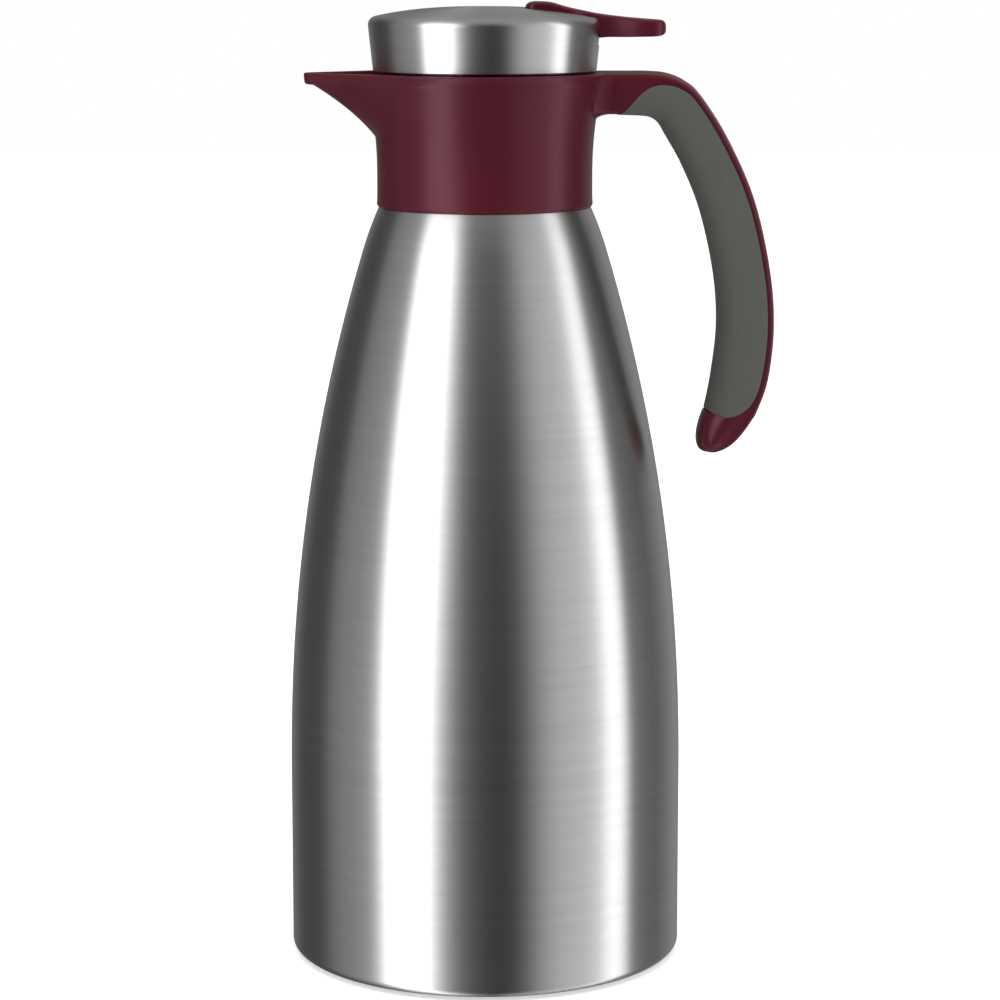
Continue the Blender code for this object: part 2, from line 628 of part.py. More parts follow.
def thumb_lever(helpers):
    """Rocking thumb lever with a fork in front that lifts the valve stem."""
    lever = lofted("thumb_lever", [lever_section(*s) for s in LEVER_STATIONS])
    for name, side in (("left", 1), ("right", -1)):
        near, far = sorted((side * (STEM_R + 0.7), side * 5.6))
        arc = [math.radians(100 + 20 * k) for k in range(9)]
        nose = [(NOSE_R * math.cos(a), NOSE_Z + NOSE_R * math.sin(a)) for a in arc]
        outline = nose + [(20.0, 278.2), (20.0, 282.0), (9.0, 280.0)]
        tine = slab("lever_tine_" + name, outline, near, far)
        combine(lever, tine, "UNION", helpers)
    pocket = slab("lever_pocket", [(36.5, 270.0), (51.0, 270.0), (51.0, 284.6), (36.5, 285.6)],
                  1.9 - LEVER_HALF_WIDTH, LEVER_HALF_WIDTH - 1.9)
    combine(lever, pocket, "DIFFERENCE", helpers)
    reach = LEVER_HALF_WIDTH + 4.0
    hole = rod("lever_pin_hole", PIN_R + GAP, (PIVOT_X, -reach, PIVOT_Z), (PIVOT_X, reach, PIVOT_Z), 16)
    combine(lever, hole, "DIFFERENCE", helpers)
    return lever


def valve_pieces():
    """Stem with its head over the fork, the valve disc, its seal ring and the stem's O-ring."""
    seat = PLUG_FLOOR_Z
    stem = turned("valve_stem", rounded([
        (0.0, 283.0), (5.0, 283.0, 0.5), (5.0, NOSE_Z + NOSE_R + GAP), (STEM_R, NOSE_Z + NOSE_R + GAP),
        (STEM_R, seat + 2.2), (0.0, seat + 2.2)], steps=2), SMALL_SEGMENTS)
    disc = turned("valve_disc", [
        (0.0, seat + 1.9), (STEM_R + GAP, seat + 1.9), (STEM_R + GAP, seat + 5.6), (4.2, seat + 5.6),
        (4.2, seat + 3.6), (11.2, seat + 3.2), (11.2, seat + 1.6), (0.0, seat + 1.6 - 0.9)],
        SMALL_SEGMENTS)
    seal = turned("valve_seal", rounded([
        (8.4, seat + 1.3, 0.3), (10.8, seat + 1.3, 0.3), (10.8, seat + 0.3, 0.3),
        (8.4, seat + 0.3, 0.3)], steps=2), SMALL_SEGMENTS)
    return {stem: "pale_plastic", disc: "pale_plastic", seal: "silicone"}


def stem_ring():
    """O-ring in the guide's groove that keeps liquid out of the lever's space."""
    middle = LID_BOTTOM_Z - 0.4 + 1.3
    ring = [(3.05 + 0.75 * math.cos(a), middle + 0.6 * math.sin(a))
            for a in (k * math.tau / 8 for k in range(8))]
    return turned("stem_seal_ring", ring, SMALL_SEGMENTS)


def valve_spring():
    """Compression spring between the valve disc and the lid body, with one flat turn at each end."""
    low = PLUG_FLOOR_Z + 3.6 + GAP + 0.6
    high = LID_BOTTOM_Z - 0.4 - GAP - SPRING_WIRE_R
    steps_a_turn = 10
    count = steps_a_turn * (SPRING_TURNS + 2)
    curve = bpy.data.curves.new("valve_spring", "CURVE")
    curve.dimensions = "3D"
    curve.bevel_depth = SPRING_WIRE_R * MM
    curve.bevel_resolution = 1
    curve.use_fill_caps = True
    line = curve.splines.new("POLY")
    line.points.add(count)
    flat_rise = 2 * SPRING_WIRE_R + 0.15
    for i, point in enumerate(line.points):
        turn = i / steps_a_turn
        climb = flat_rise * min(turn, 1.0) + flat_rise * max(turn - SPRING_TURNS - 1, 0.0)
        middle = min(max(turn - 1.0, 0.0), SPRING_TURNS) / SPRING_TURNS
        z = low + climb + (high - low - 2 * flat_rise) * middle
        angle = turn * math.tau
        point.co = (SPRING_R * math.cos(angle) * MM, SPRING_R * math.sin(angle) * MM, z * MM, 1.0)
    return bpy.data.objects.new("valve_spring", curve)


def lever_pin():
    """Steel pin through the lid's ears and the lever."""
    half = LEVER_HALF_WIDTH + 2.8
    return rod("lever_pin", PIN_R, (PIVOT_X, -half, PIVOT_Z), (PIVOT_X, half, PIVOT_Z), 16)


# ---------------------------------------------------------------- assembly

def move_origin(piece, point):
    """Puts the object's origin at a point without moving its shape."""
    shift = Vector(point) * MM
    for vertex in piece.data.vertices:
        vertex.co -= shift
    piece.location = shift


def pivot_empty(name, point, parent, collection):
    empty = bpy.data.objects.new(name, None)
    empty.location = Vector(point) * MM
    empty.parent = parent
    if parent is not None:
        empty.location -= parent.location
    collection.objects.link(empty)
    return empty


def add_group(pieces, parent, collection, materials):
    """Links the pieces under a body's empty, keeps their places and gives them materials."""
    for piece, material in pieces.items():
        collection.objects.link(piece)
        piece.data.materials.append(materials[material])
        piece.parent = parent
        origin = parent
        while origin is not None:
            piece.location -= origin.location
            origin = origin.parent


def main():
    for leftover in list(bpy.data.objects):
        bpy.data.objects.remove(leftover)
    model = bpy.data.collections.new("insulated_jug")
    cutters = bpy.data.collections.new("cutters")
    for collection in (model, cutters):
        bpy.context.scene.collection.children.link(collection)
    materials = make_materials()
    helpers = []

    jug = pivot_empty("jug_body", (0, 0, 0), None, model)
    lift = pivot_empty("lid_lift_axis", (0, 0, 0), jug, model)
    turn = pivot_empty("lid_turn_axis", (0, 0, 0), lift, model)
    rock = pivot_empty("lever_pivot", (PIVOT_X, 0, PIVOT_Z), turn, model)
    valve = pivot_empty("valve_axis", (0, 0, 0), turn, model)

    vessel = {outer_shell(): "brushed_steel", inner_liner(): "liner_steel"}
    vessel.update(base_pieces())
    vessel[collar(helpers)] = "maroon_plastic"
    vessel.update(neck_pieces())
    vessel.update(handle_pieces(helpers))
    for name, y in SCREW_SIDES:
        vessel[handle_screw(name, y)] = "spring_steel"
    add_group(vessel, jug, model, materials)

    add_group({stopper_gasket(): "silicone"}, lift, model, materials)
    lid = {
        lid_cover(helpers): "brushed_steel",
        lid_body(helpers): "maroon_plastic",
        stopper_plug(helpers): "dark_plastic",
        stem_ring(): "silicone",
        valve_spring(): "spring_steel",
        lever_pin(): "spring_steel",
    }
    add_group(lid, turn, model, materials)

    lever_helpers = []
    lever = thumb_lever(lever_helpers)
    pivot = (PIVOT_X, 0, PIVOT_Z)
    move_origin(lever, pivot)
    for tool in lever_helpers:
        move_origin(tool, pivot)
    helpers += lever_helpers
    add_group({lever: "maroon_plastic"}, rock, model, materials)
    add_group(valve_pieces(), valve, model, materials)

    for tool in helpers:
        cutters.objects.link(tool)
        tool.hide_render = True
        tool.display_type = "WIRE"


main()
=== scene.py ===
"""Studio scene of an insulated pouring jug: smooth surfaces, materials, light and camera.

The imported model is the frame. Outlines are in millimetres and become metres when they are meshed.
+Z is up, +X is the handle's side, -X is the spout's, and the camera looks along +Y.
"""
import json
import math

import bmesh
import bpy
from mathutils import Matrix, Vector


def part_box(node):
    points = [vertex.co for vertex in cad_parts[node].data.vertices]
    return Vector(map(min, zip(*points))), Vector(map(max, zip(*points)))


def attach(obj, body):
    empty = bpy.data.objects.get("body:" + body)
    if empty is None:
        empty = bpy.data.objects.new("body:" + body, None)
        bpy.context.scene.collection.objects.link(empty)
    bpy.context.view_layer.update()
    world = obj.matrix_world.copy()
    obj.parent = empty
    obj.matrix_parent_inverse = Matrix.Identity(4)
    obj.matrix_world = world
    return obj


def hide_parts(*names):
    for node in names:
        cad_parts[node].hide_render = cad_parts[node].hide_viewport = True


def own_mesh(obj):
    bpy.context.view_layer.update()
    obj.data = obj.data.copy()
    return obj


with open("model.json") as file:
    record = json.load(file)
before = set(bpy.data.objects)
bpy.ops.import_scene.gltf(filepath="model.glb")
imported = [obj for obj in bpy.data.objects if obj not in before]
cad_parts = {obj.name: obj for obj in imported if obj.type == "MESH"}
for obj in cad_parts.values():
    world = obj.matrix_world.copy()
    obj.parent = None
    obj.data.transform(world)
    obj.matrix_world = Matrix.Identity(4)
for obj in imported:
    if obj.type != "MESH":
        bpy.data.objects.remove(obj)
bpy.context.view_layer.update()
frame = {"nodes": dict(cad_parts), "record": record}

MM = 0.001


def millimetres(node):
    """Lowest and highest corners of a CAD node, in millimetres."""
    low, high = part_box(node)
    return low / MM, high / MM


shell_low, shell_high = millimetres("outer_shell")
liner_low, liner_high = millimetres("inner_liner")
collar_low, collar_high = millimetres("collar")
cover_low, cover_high = millimetres("lid_cover")
plug_low, plug_high = millimetres("stopper_plug")
gasket_low, gasket_high = millimetres("stopper_gasket")
lever_half_width = millimetres("thumb_lever")[1].y
pad_low, pad_high = millimetres("base_pad")
plate_low, plate_high = millimetres("base_plate")
spring_low, spring_high = millimetres("valve_spring")

TURN_STEPS = 256                # segments round a turned surface
SHARP_DEG = 32.0                # edges that turn by more than this stay sharp
ON_AXIS = 1e-6                  # an outline's point nearer than this is on the axis


# ---------------------------------------------------------------- camera

CAMERA_PLACE = (0.0046, -1.0, 0.3096)
CAMERA_TILT_DEG = 80.4          # 90 would be level
FOCAL_LENGTH = 118.93
SENSOR_WIDTH = 36.0


def make_camera():
    """Eye at the jug's side, a little above the lid, looking slightly down."""
    data = bpy.data.cameras.new("camera")
    data.lens = FOCAL_LENGTH
    data.sensor_width = SENSOR_WIDTH
    camera = bpy.data.objects.new("camera", data)
    camera.location = CAMERA_PLACE
    camera.rotation_euler = (math.radians(CAMERA_TILT_DEG), 0.0, 0.0)
    bpy.context.scene.collection.objects.link(camera)
    bpy.context.scene.camera = camera


make_camera()


# ---------------------------------------------------------------- shape helpers

def rounded(corners, steps=6):
    """An outline whose corners (x, z, radius) are arcs; a corner with no radius stays sharp."""
    outline = []
    for i, corner in enumerate(corners):
        here = Vector(corner[:2])
        if len(corner) < 3:
            outline.append(tuple(here))
            continue
        to_last = (Vector(corners[i - 1][:2]) - here).normalized()
        to_next = (Vector(corners[(i + 1) % len(corners)][:2]) - here).normalized()
        half = math.acos(max(-1.0, min(1.0, to_last.dot(to_next)))) / 2
        centre = here + (to_last + to_next).normalized() * (corner[2] / math.sin(half))
        start = here + to_last * (corner[2] / math.tan(half)) - centre
        end = here + to_next * (corner[2] / math.tan(half)) - centre
        for k in range(steps + 1):
            arm = start.lerp(end, k / steps).normalized() * corner[2]
            outline.append(tuple(centre + arm))
    return outline


def thickened(line, wall):
    """A closed outline from an open line down the outer side, with a wall on its inner side."""
    inner = []
    for i, point in enumerate(line):
        before, after = Vector(line[max(i - 1, 0)]), Vector(line[min(i + 1, len(line) - 1)])
        along = (after - before).normalized()
        x = point[0] + along.y * wall
        inner.append((max(x, 0.0) if point[0] > 0 else 0.0, point[1] - along.x * wall))
    return list(line) + inner[::-1]


def levels(low, high, count):
    """Evenly spaced values from one end to the other."""
    return [low + (high - low) * k / (count - 1) for k in range(count)]


def ease(x):
    """0 below 0, 1 above 1 and a smooth step between."""
    x = min(1.0, max(0.0, x))
    return x * x * (3 - 2 * x)


def between(points, i, t):
    """The row at a share t of the way from row i to the next, on a Catmull-Rom curve through all."""
    last = len(points) - 1
    rows = (points[max(i - 1, 0)], points[i], points[i + 1], points[min(i + 2, last)])
    return [
        0.5 * (2 * b + (c - a) * t + (2 * a - 5 * b + 4 * c - d) * t**2
               + (3 * b - a - 3 * c + d) * t**3)
        for a, b, c, d in zip(*rows)
    ]


def smooth(points, steps):
    """Rows along the curve through the given rows, with a number of steps from each to the next."""
    rows = [between(points, i, k / steps) for i in range(len(points) - 1) for k in range(steps)]
    return rows + [list(points[-1])]


def shade_smooth(mesh):
    """Smooth shading everywhere but at sharp edges."""
    mesh.shade_smooth()
    mesh.set_sharp_from_angle(angle=math.radians(SHARP_DEG))


def make_object(name, points, faces):
    """A mesh object from millimetre points, with its faces turned outward."""
    mesh = bpy.data.meshes.new(name)
    mesh.from_pydata([[c * MM for c in point] for point in points], [], faces)
    body = bmesh.new()
    body.from_mesh(mesh)
    bmesh.ops.recalc_face_normals(body, faces=body.faces)
    body.to_mesh(mesh)
    body.free()
    shade_smooth(mesh)
    piece = bpy.data.objects.new(name, mesh)
    bpy.context.scene.collection.objects.link(piece)
    return piece


def revolved(name, outline):
    """An (r, z) outline swept round Z: a ring if closed, or solid if both its ends are on the axis."""
    points, rings = [], []
    for r, z in outline:
        if r < ON_AXIS:
            rings.append([len(points)] * TURN_STEPS)
            points.append((0.0, 0.0, z))
            continue
        rings.append(list(range(len(points), len(points) + TURN_STEPS)))
        turns = (math.tau * k / TURN_STEPS for k in range(TURN_STEPS))
        points += [(r * math.cos(a), r * math.sin(a), z) for a in turns]
    solid = outline[0][0] < ON_AXIS and outline[-1][0] < ON_AXIS
    pairs = list(zip(rings, rings[1:])) + ([] if solid else [(rings[-1], rings[0])])
    faces = []
    for upper, lower in pairs:
        for k in range(TURN_STEPS):
            j = (k + 1) % TURN_STEPS
            corners = [upper[k], upper[j], lower[j], lower[k]]
            face = [c for n, c in enumerate(corners) if c != corners[n - 1]]
            if len(face) > 2:
                faces.append(face)
    return make_object(name, points, faces)


def lofted(name, sections, closed=False):
    """A solid through loops of equal point counts, capped at its ends unless it closes on itself."""
    count = len(sections[0])
    points = [point for loop in sections for point in loop]
    faces = []
    following = list(range(1, len(sections))) + ([0] if closed else [])
    for i, j in enumerate(following):
        for k in range(count):
            m = (k + 1) % count
            faces.append([i * count + k, i * count + m, j * count + m, j * count + k])
    if not closed:
        faces.append(list(range(count))[::-1])
        faces.append(list(range(len(points) - count, len(points))))
    return make_object(name, points, faces)


def slab(name, outline, low_y, high_y):
    """A flat (x, z) outline extruded along Y."""
    return lofted(name, [[(x, y, z) for x, z in outline] for y in (low_y, high_y)])


def sector(name, inner_r, outer_r, low_z, high_z, middle_deg, span_deg, steps=12):
    """A block between two radii and two heights that follows part of a circle."""
    loops = []
    for k in range(steps + 1):
        angle = math.radians(middle_deg + span_deg * (k / steps - 0.5))
        corners = ((inner_r, low_z), (outer_r, low_z), (outer_r, high_z), (inner_r, high_z))
        loops.append([(r * math.cos(angle), r * math.sin(angle), z) for r, z in corners])
    return lofted(name, loops)


def evaluated_mesh(item):
    """A mesh of the object as its modifiers or curve settings make it."""
    bpy.context.view_layer.update()
    evaluated = item.evaluated_get(bpy.context.evaluated_depsgraph_get())
    return bpy.data.meshes.new_from_object(evaluated)


def combine(piece, tools, operation):
    """Cuts the tools from the piece or joins them on, for good, and removes them."""
    for tool in tools:
        change = piece.modifiers.new(tool.name, "BOOLEAN")
        change.operation = operation
        change.object = tool
    mesh = evaluated_mesh(piece)
    piece.modifiers.clear()
    piece.data = mesh
    mesh.name = piece.name
    shade_smooth(mesh)
    for tool in tools:
        bpy.data.objects.remove(tool)


def install(piece, body, nodes, material):
    """Gives the piece its material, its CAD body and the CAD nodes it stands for."""
    piece.data.materials.clear()
    piece.data.materials.append(material)
    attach(piece, body)
    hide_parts(*nodes)


# ---------------------------------------------------------------- materials

MIX_A, MIX_B, MIX_RESULT = 6, 7, 2      # a mix node's colour sockets, which share names with others
NOISE_LOW, NOISE_HIGH = 0.2, 0.8        # nearly all of a noise's values are between these


def link(material, source, output, target, name):
    """Joins one node's output to another's input."""
    material.node_tree.links.new(source.outputs[output], target.inputs[name])


def add_node(material, kind, **settings):
    """A new node with the given settings."""
    node = material.node_tree.nodes.new(kind)
    for name, value in settings.items():
        setattr(node, name, value)
    return node


def new_material(name, roughness, metallic=0.0):
    """A material whose shader has its constants set on its own sockets."""
    material = bpy.data.materials.new(name)
    material.use_nodes = True
    shader = material.node_tree.nodes["Principled BSDF"]
    shader.inputs["Roughness"].default_value = roughness
    shader.inputs["Metallic"].default_value = metallic
    return material, shader


def noise(material, scale, detail=2.0, roughness=0.5):
    """Noise in the object's own space, with a scale for each axis in cycles per metre."""
    place = add_node(material, "ShaderNodeTexCoord")
    stretch = add_node(material, "ShaderNodeMapping")
    stretch.inputs["Scale"].default_value = scale
    pattern = add_node(material, "ShaderNodeTexNoise")
    pattern.inputs["Scale"].default_value = 1.0
    pattern.inputs["Detail"].default_value = detail
    pattern.inputs["Roughness"].default_value = roughness
    link(material, place, "Object", stretch, "Vector")
    link(material, stretch, "Vector", pattern, "Vector")
    return pattern


def ramp(material, source, stops):
    """A colour ramp over a value, from (position, colour) stops."""
    node = add_node(material, "ShaderNodeValToRGB")
    elements = node.color_ramp.elements
    while len(elements) < len(stops):
        elements.new(0.5)
    for element, (position, colour) in zip(elements, stops):
        element.position = position
        element.color = (*colour, 1.0)
    link(material, source, 0, node, "Fac")
    return node


def spread(material, source, low, high):
    """A noise's usual range mapped to a range of values."""
    node = add_node(material, "ShaderNodeMapRange")
    node.inputs["From Min"].default_value = NOISE_LOW
    node.inputs["From Max"].default_value = NOISE_HIGH
    node.inputs["To Min"].default_value = low
    node.inputs["To Max"].default_value = high
    link(material, source, 0, node, "Value")
    return node


def bump(material, shader, source, depth, strength):
    """Relief of a depth in metres from a value."""
    node = add_node(material, "ShaderNodeBump")
    node.inputs["Strength"].default_value = strength
    node.inputs["Distance"].default_value = depth
    link(material, source, 0, node, "Height")
    link(material, node, "Normal", shader, "Normal")


def grey(value, tint=(1.0, 1.0, 1.0)):
    """A grey of the given value, or a tinted one."""
    return tuple(value * channel for channel in tint)


# Noise cycles per metre along X, Y and Z. Many more along the axis make rings round the jug.
GRAIN_SCALE = (26.0, 26.0, 3600.0)
STREAK_SCALE = (7.0, 7.0, 520.0)
SCRATCH_SCALE = (90.0, 90.0, 2300.0)
WIRE_SCALE = (400.0, 400.0, 400.0)
MOTTLE_SCALE = (45.0, 45.0, 45.0)
STREAK = 0.035                  # share by which the streaks darken or lighten the steel
STREAK_TINT = (1.0, 1.0, 0.995)
SCRATCH_FROM, SCRATCH_FULL = 0.74, 0.8
SCRATCH_SHADE = 0.88
GRAIN_DEPTH = 0.00001
GRAIN_STRENGTH = 0.24
TEXTURE_STRENGTH = 0.5
HIGHLIGHT_TURN = 0.25           # of a full turn, so that highlights stretch across the rings


def brushed_steel(name, roughness=0.3, anisotropy=0.85, shade=0.62):
    """Steel brushed round the axis: fine rings of grain, streaked tone and a few deeper scratches."""
    material, shader = new_material(name, roughness, 1.0)
    fine = noise(material, GRAIN_SCALE, 3.0, 0.6)
    broad = noise(material, STREAK_SCALE, 4.0, 0.6)
    scratch = noise(material, SCRATCH_SCALE, 1.0)
    tone = ramp(material, broad, [
        (0.3, grey(shade * (1 - STREAK))), (0.5, grey(shade)),
        (0.7, grey(shade * (1 + STREAK), STREAK_TINT))])
    marks = ramp(material, scratch, [
        (0.0, grey(1.0)), (SCRATCH_FROM, grey(1.0)), (SCRATCH_FULL, grey(SCRATCH_SHADE))])
    blend = add_node(material, "ShaderNodeMix", data_type="RGBA", blend_type="MULTIPLY")
    blend.inputs["Factor"].default_value = 1.0
    link(material, tone, "Color", blend, MIX_A)
    link(material, marks, "Color", blend, MIX_B)
    link(material, blend, MIX_RESULT, shader, "Base Color")
    level = spread(material, fine, roughness - 0.02, roughness + 0.04)
    link(material, level, "Result", shader, "Roughness")
    bump(material, shader, fine, GRAIN_DEPTH, GRAIN_STRENGTH)
    shader.inputs["Anisotropic"].default_value = anisotropy
    shader.inputs["Anisotropic Rotation"].default_value = HIGHLIGHT_TURN
    tangent = add_node(material, "ShaderNodeTangent", direction_type="RADIAL", axis="Z")
    link(material, tangent, "Tangent", shader, "Tangent")
    return material


def drawn_steel(name, shade, roughness):
    """Bright plain steel with a soft unevenness, for wire, pins and screws."""
    material, shader = new_material(name, roughness, 1.0)
    cloud = noise(material, WIRE_SCALE, 3.0)
    tone = ramp(material, cloud, [(0.3, grey(shade * 0.92)), (0.7, grey(shade * 1.06))])
    link(material, tone, "Color", shader, "Base Color")
    level = spread(material, cloud, roughness - 0.02, roughness + 0.03)
    link(material, level, "Result", shader, "Roughness")
    return material


def moulded(name, colour, roughness, grain=0.00002, mottling=0.05, specular=0.5, texture=2200.0):
    """Moulded plastic or rubber: a faint mottling of tone and a fine moulded grain."""
    material, shader = new_material(name, roughness)
    cloud = noise(material, MOTTLE_SCALE, 3.0)
    grit = noise(material, (texture, texture, texture))
    darker = tuple(c * (1 - mottling) for c in colour)
    lighter = tuple(c * (1 + mottling) for c in colour)
    tone = ramp(material, cloud, [(0.15, darker), (0.85, lighter)])
    link(material, tone, "Color", shader, "Base Color")
    level = spread(material, cloud, roughness - 0.02, roughness + 0.02)
    link(material, level, "Result", shader, "Roughness")
    bump(material, shader, grit, grain, TEXTURE_STRENGTH)
    shader.inputs["Specular IOR Level"].default_value = specular
    return material


STEEL = brushed_steel("brushed_steel_surface")
LINER = brushed_steel("liner_surface", 0.2, 0.5, 0.66)
BRIGHT = drawn_steel("bright_steel_surface", 0.58, 0.22)
MAROON = moulded("maroon_surface", (0.077, 0.0062, 0.0152), 0.31, specular=0.44)
maroon_shader = MAROON.node_tree.nodes["Principled BSDF"]
maroon_shader.inputs["Specular Tint"].default_value = (1.0, 0.6, 0.68, 1.0)
GRIP = moulded("grip_surface", (0.092, 0.095, 0.085), 0.62, 0.00004, 0.05, 0.25, 1600.0)
DARK = moulded("dark_plastic_surface", (0.03, 0.03, 0.032), 0.45)
PALE = moulded("pale_plastic_surface", (0.6, 0.6, 0.57), 0.42)
SILICONE = moulded("silicone_surface", (0.5, 0.5, 0.48), 0.5)
RUBBER = moulded("base_rubber_surface", (0.028, 0.028, 0.028), 0.7, 0.00005)
SLOT_MATERIALS = {
    "brushed_steel": STEEL, "liner_steel": LINER, "spring_steel": BRIGHT, "maroon_plastic": MAROON,
    "soft_grip": GRIP, "dark_plastic": DARK, "pale_plastic": PALE, "silicone": SILICONE,
    "base_rubber": RUBBER,
}


# ---------------------------------------------------------------- vessel

BELLY_R = shell_high.x
NECK_R = 28.1
BELLY_TOP_Z = 56.0              # the taper starts here and ends at the shoulder
SHOULDER_Z = 230.2
SHOULDER_DROP = 27.2            # how much smaller the radius is at the shoulder
TAPER_POWER = 2.1
TUCK_FROM_Z = 218.0             # a last turn inward under the collar
TUCK = 0.7
SHELL_WALL = 0.7
FOOT_EDGE_R = 2.6
FOOT_INNER_R = 54.0
LINER_WALL = 0.6
LINER_NECK_R = 26.5
LINER_NECK_LOW_Z = 233.0
LINER_TAPER_TOP_Z = 230.0
LINER_FLOOR_EDGE_R = 16.0
BEAD = 1.7                      # width of the rolled mouth
VACUUM_OFFSET = 6.1             # from the shell's outside to the liner's inside
STEP_R = (49.8, 47.2)           # the base plate's step, from its rim up to its dish
DISH_RISE = 3.5
HUB_R = 7.3                     # raised middle of the base plate
HUB_RISE = 4.4
TREAD_RADII = (12.0, 19.0, 26.0, 33.0, 40.0)
TREAD_DEPTH = 0.7
TREAD_WIDTH = 1.6
TREAD_SLOPE = 0.3


def body_radius(z):
    """Outer radius of the steel at a height, up to its shoulder."""
    share = max(0.0, (z - BELLY_TOP_Z) / (SHOULDER_Z - BELLY_TOP_Z))
    last = max(0.0, (z - TUCK_FROM_Z) / (SHOULDER_Z - TUCK_FROM_Z))
    return BELLY_R - SHOULDER_DROP * share**TAPER_POWER - TUCK * last**2


def make_shell():
    """Outer body: straight below, drawn in towards the collar, with a small radius at the foot."""
    foot = shell_low.z
    edge = SHOULDER_Z + 0.5
    line = rounded([
        (NECK_R, shell_high.z), (NECK_R, edge + 0.1, 2.4), (body_radius(edge), edge, 0.4),
        (body_radius(SHOULDER_Z - 0.5), SHOULDER_Z - 0.5)])
    line += [(body_radius(z), z) for z in levels(SHOULDER_Z - 1.0, BELLY_TOP_Z, 70)]
    line += rounded([(BELLY_R, BELLY_TOP_Z), (BELLY_R, foot, FOOT_EDGE_R), (FOOT_INNER_R, foot)], 10)[1:]
    shell = revolved("body_shell", thickened(line, SHELL_WALL))
    install(shell, "jug", ["outer_shell"], STEEL)


def make_liner():
    """Inner vessel with a dished floor corner and a rolled bead at its mouth."""
    wall, top = LINER_WALL, liner_high.z
    neck = LINER_NECK_R + wall
    line = rounded([
        (neck + BEAD, top - 2.0), (neck + BEAD, top - wall, 0.5), (neck, top - wall, 0.2),
        (neck, LINER_NECK_LOW_Z)], 4)
    line += [(max(neck, body_radius(z) - VACUUM_OFFSET + wall), z)
             for z in levels(LINER_TAPER_TOP_Z, BELLY_TOP_Z, 60)]
    wide, floor = BELLY_R - VACUUM_OFFSET + wall, liner_low.z
    line += rounded([(wide, BELLY_TOP_Z), (wide, floor, LINER_FLOOR_EDGE_R), (0.0, floor)], 16)[1:]
    liner = revolved("liner_vessel", thickened(line, wall))
    install(liner, "jug", ["inner_liner"], LINER)


def make_base():
    """Recessed steel base with a stepped edge, and a rubber pad with rings of tread."""
    low, high = plate_low.z, plate_high.z
    line = rounded([
        (plate_high.x, low), (STEP_R[0], low, 0.8), (STEP_R[1], low + DISH_RISE, 0.8),
        (HUB_R + 1.0, low + DISH_RISE, 0.5), (HUB_R, low + HUB_RISE, 0.4), (0.0, low + HUB_RISE)], 4)
    plate = revolved("base_dish", thickened(line, high - low - HUB_RISE))
    install(plate, "jug", ["base_plate"], STEEL)
    edge = pad_high.x
    under = [(0.0, pad_low.z)]
    for r in TREAD_RADII:
        under += [(r, pad_low.z), (r + TREAD_SLOPE, pad_low.z + TREAD_DEPTH),
                  (r + TREAD_WIDTH - TREAD_SLOPE, pad_low.z + TREAD_DEPTH),
                  (r + TREAD_WIDTH, pad_low.z)]
    rim = rounded([(TREAD_RADII[-1], pad_low.z), (edge, pad_low.z, 0.8), (edge, pad_high.z, 0.4),
                   (0.0, pad_high.z)], 5)
    pad = revolved("tread_pad", under + rim[1:])
    install(pad, "jug", ["base_pad"], RUBBER)


make_shell()
make_liner()
make_base()


# ---------------------------------------------------------------- collar

COLLAR_R = 32.5
COLLAR_FLARE = 4.2
COLLAR_FLARE_FROM_Z = 240.0
FLARE_POWER = 2.3
COLLAR_INNER_R = 31.0
SKIRT_INNER_R = 32.2            # thin lower lip that laps over the steel's shoulder
SKIRT_SWELL = 0.15              # how much wider the lower lip is than the wall above it
SKIRT_EDGE_R = 0.9
RIM_EDGE_R = 0.6
BORE_EDGE_R = 0.5
BORE_R = 31.6
LEDGE_Z = 260.0
LEDGE_THICK = 1.5
LEDGE_R = 26.9
SPOUT_START_Z = 251.7
SPOUT_TIP_Z = 267.2
SPOUT_TIP_R = 5.0
SPOUT_EDGE_R = 0.8
SPOUT_ROOT_R = 33.1             # the spout's underside is a parabola from here
SPOUT_SLOPE = 0.78
SPOUT_SWEEP = 0.0275
CHANNEL_TIP_R = 3.2
CHANNEL_WALL = 2.4
TIP_FADE = (0.09, 0.3)          # angles from the spout where the ledge under its tip fades out
COLUMN_COUNT = 170              # columns of the collar's mesh from the spout to the handle
EVEN_SHARE = 0.22               # the less even, the closer the columns are near the spout
COLUMN_POWER = 2.2
LUG_ANGLES = (0.0, 100.0, -100.0)
LUG_SPAN_DEG = 24.0
COLLAR_LUG_Z = (266.8, 269.0)


def collar_radius(z):
    """Outer radius of the collar's round wall at a height."""
    share = max(0.0, (z - COLLAR_FLARE_FROM_Z) / (collar_high.z - COLLAR_FLARE_FROM_Z))
    return COLLAR_R + COLLAR_FLARE * share**FLARE_POWER


def spout_reach(z):
    """Distance from the axis to the spout's underside, which sweeps out as it rises."""
    rise = max(0.0, z - SPOUT_START_Z)
    return SPOUT_ROOT_R + SPOUT_SLOPE * rise + SPOUT_SWEEP * rise**2


def side_reach(z, reach):
    """The same sweep carried on up to the rim, which the spout's sides follow beyond its tip."""
    return min(reach, spout_reach(z)) if z > SPOUT_TIP_Z - 0.5 else reach


def beak_radius(angle, circle_r, reach, tip_r):
    """Radius at an angle from the spout of the hull round a circle and a smaller tip circle."""
    centre = reach - tip_r
    if centre <= circle_r - tip_r + 1e-6:
        return circle_r
    tangent = math.acos((circle_r - tip_r) / centre)
    if angle >= tangent:
        return circle_r
    tip_angle = math.atan2(tip_r * math.sin(tangent), centre + tip_r * math.cos(tangent))
    if angle >= tip_angle:
        return circle_r / math.cos(angle - tangent)
    return centre * math.cos(angle) + math.sqrt(tip_r**2 - (centre * math.sin(angle)) ** 2)


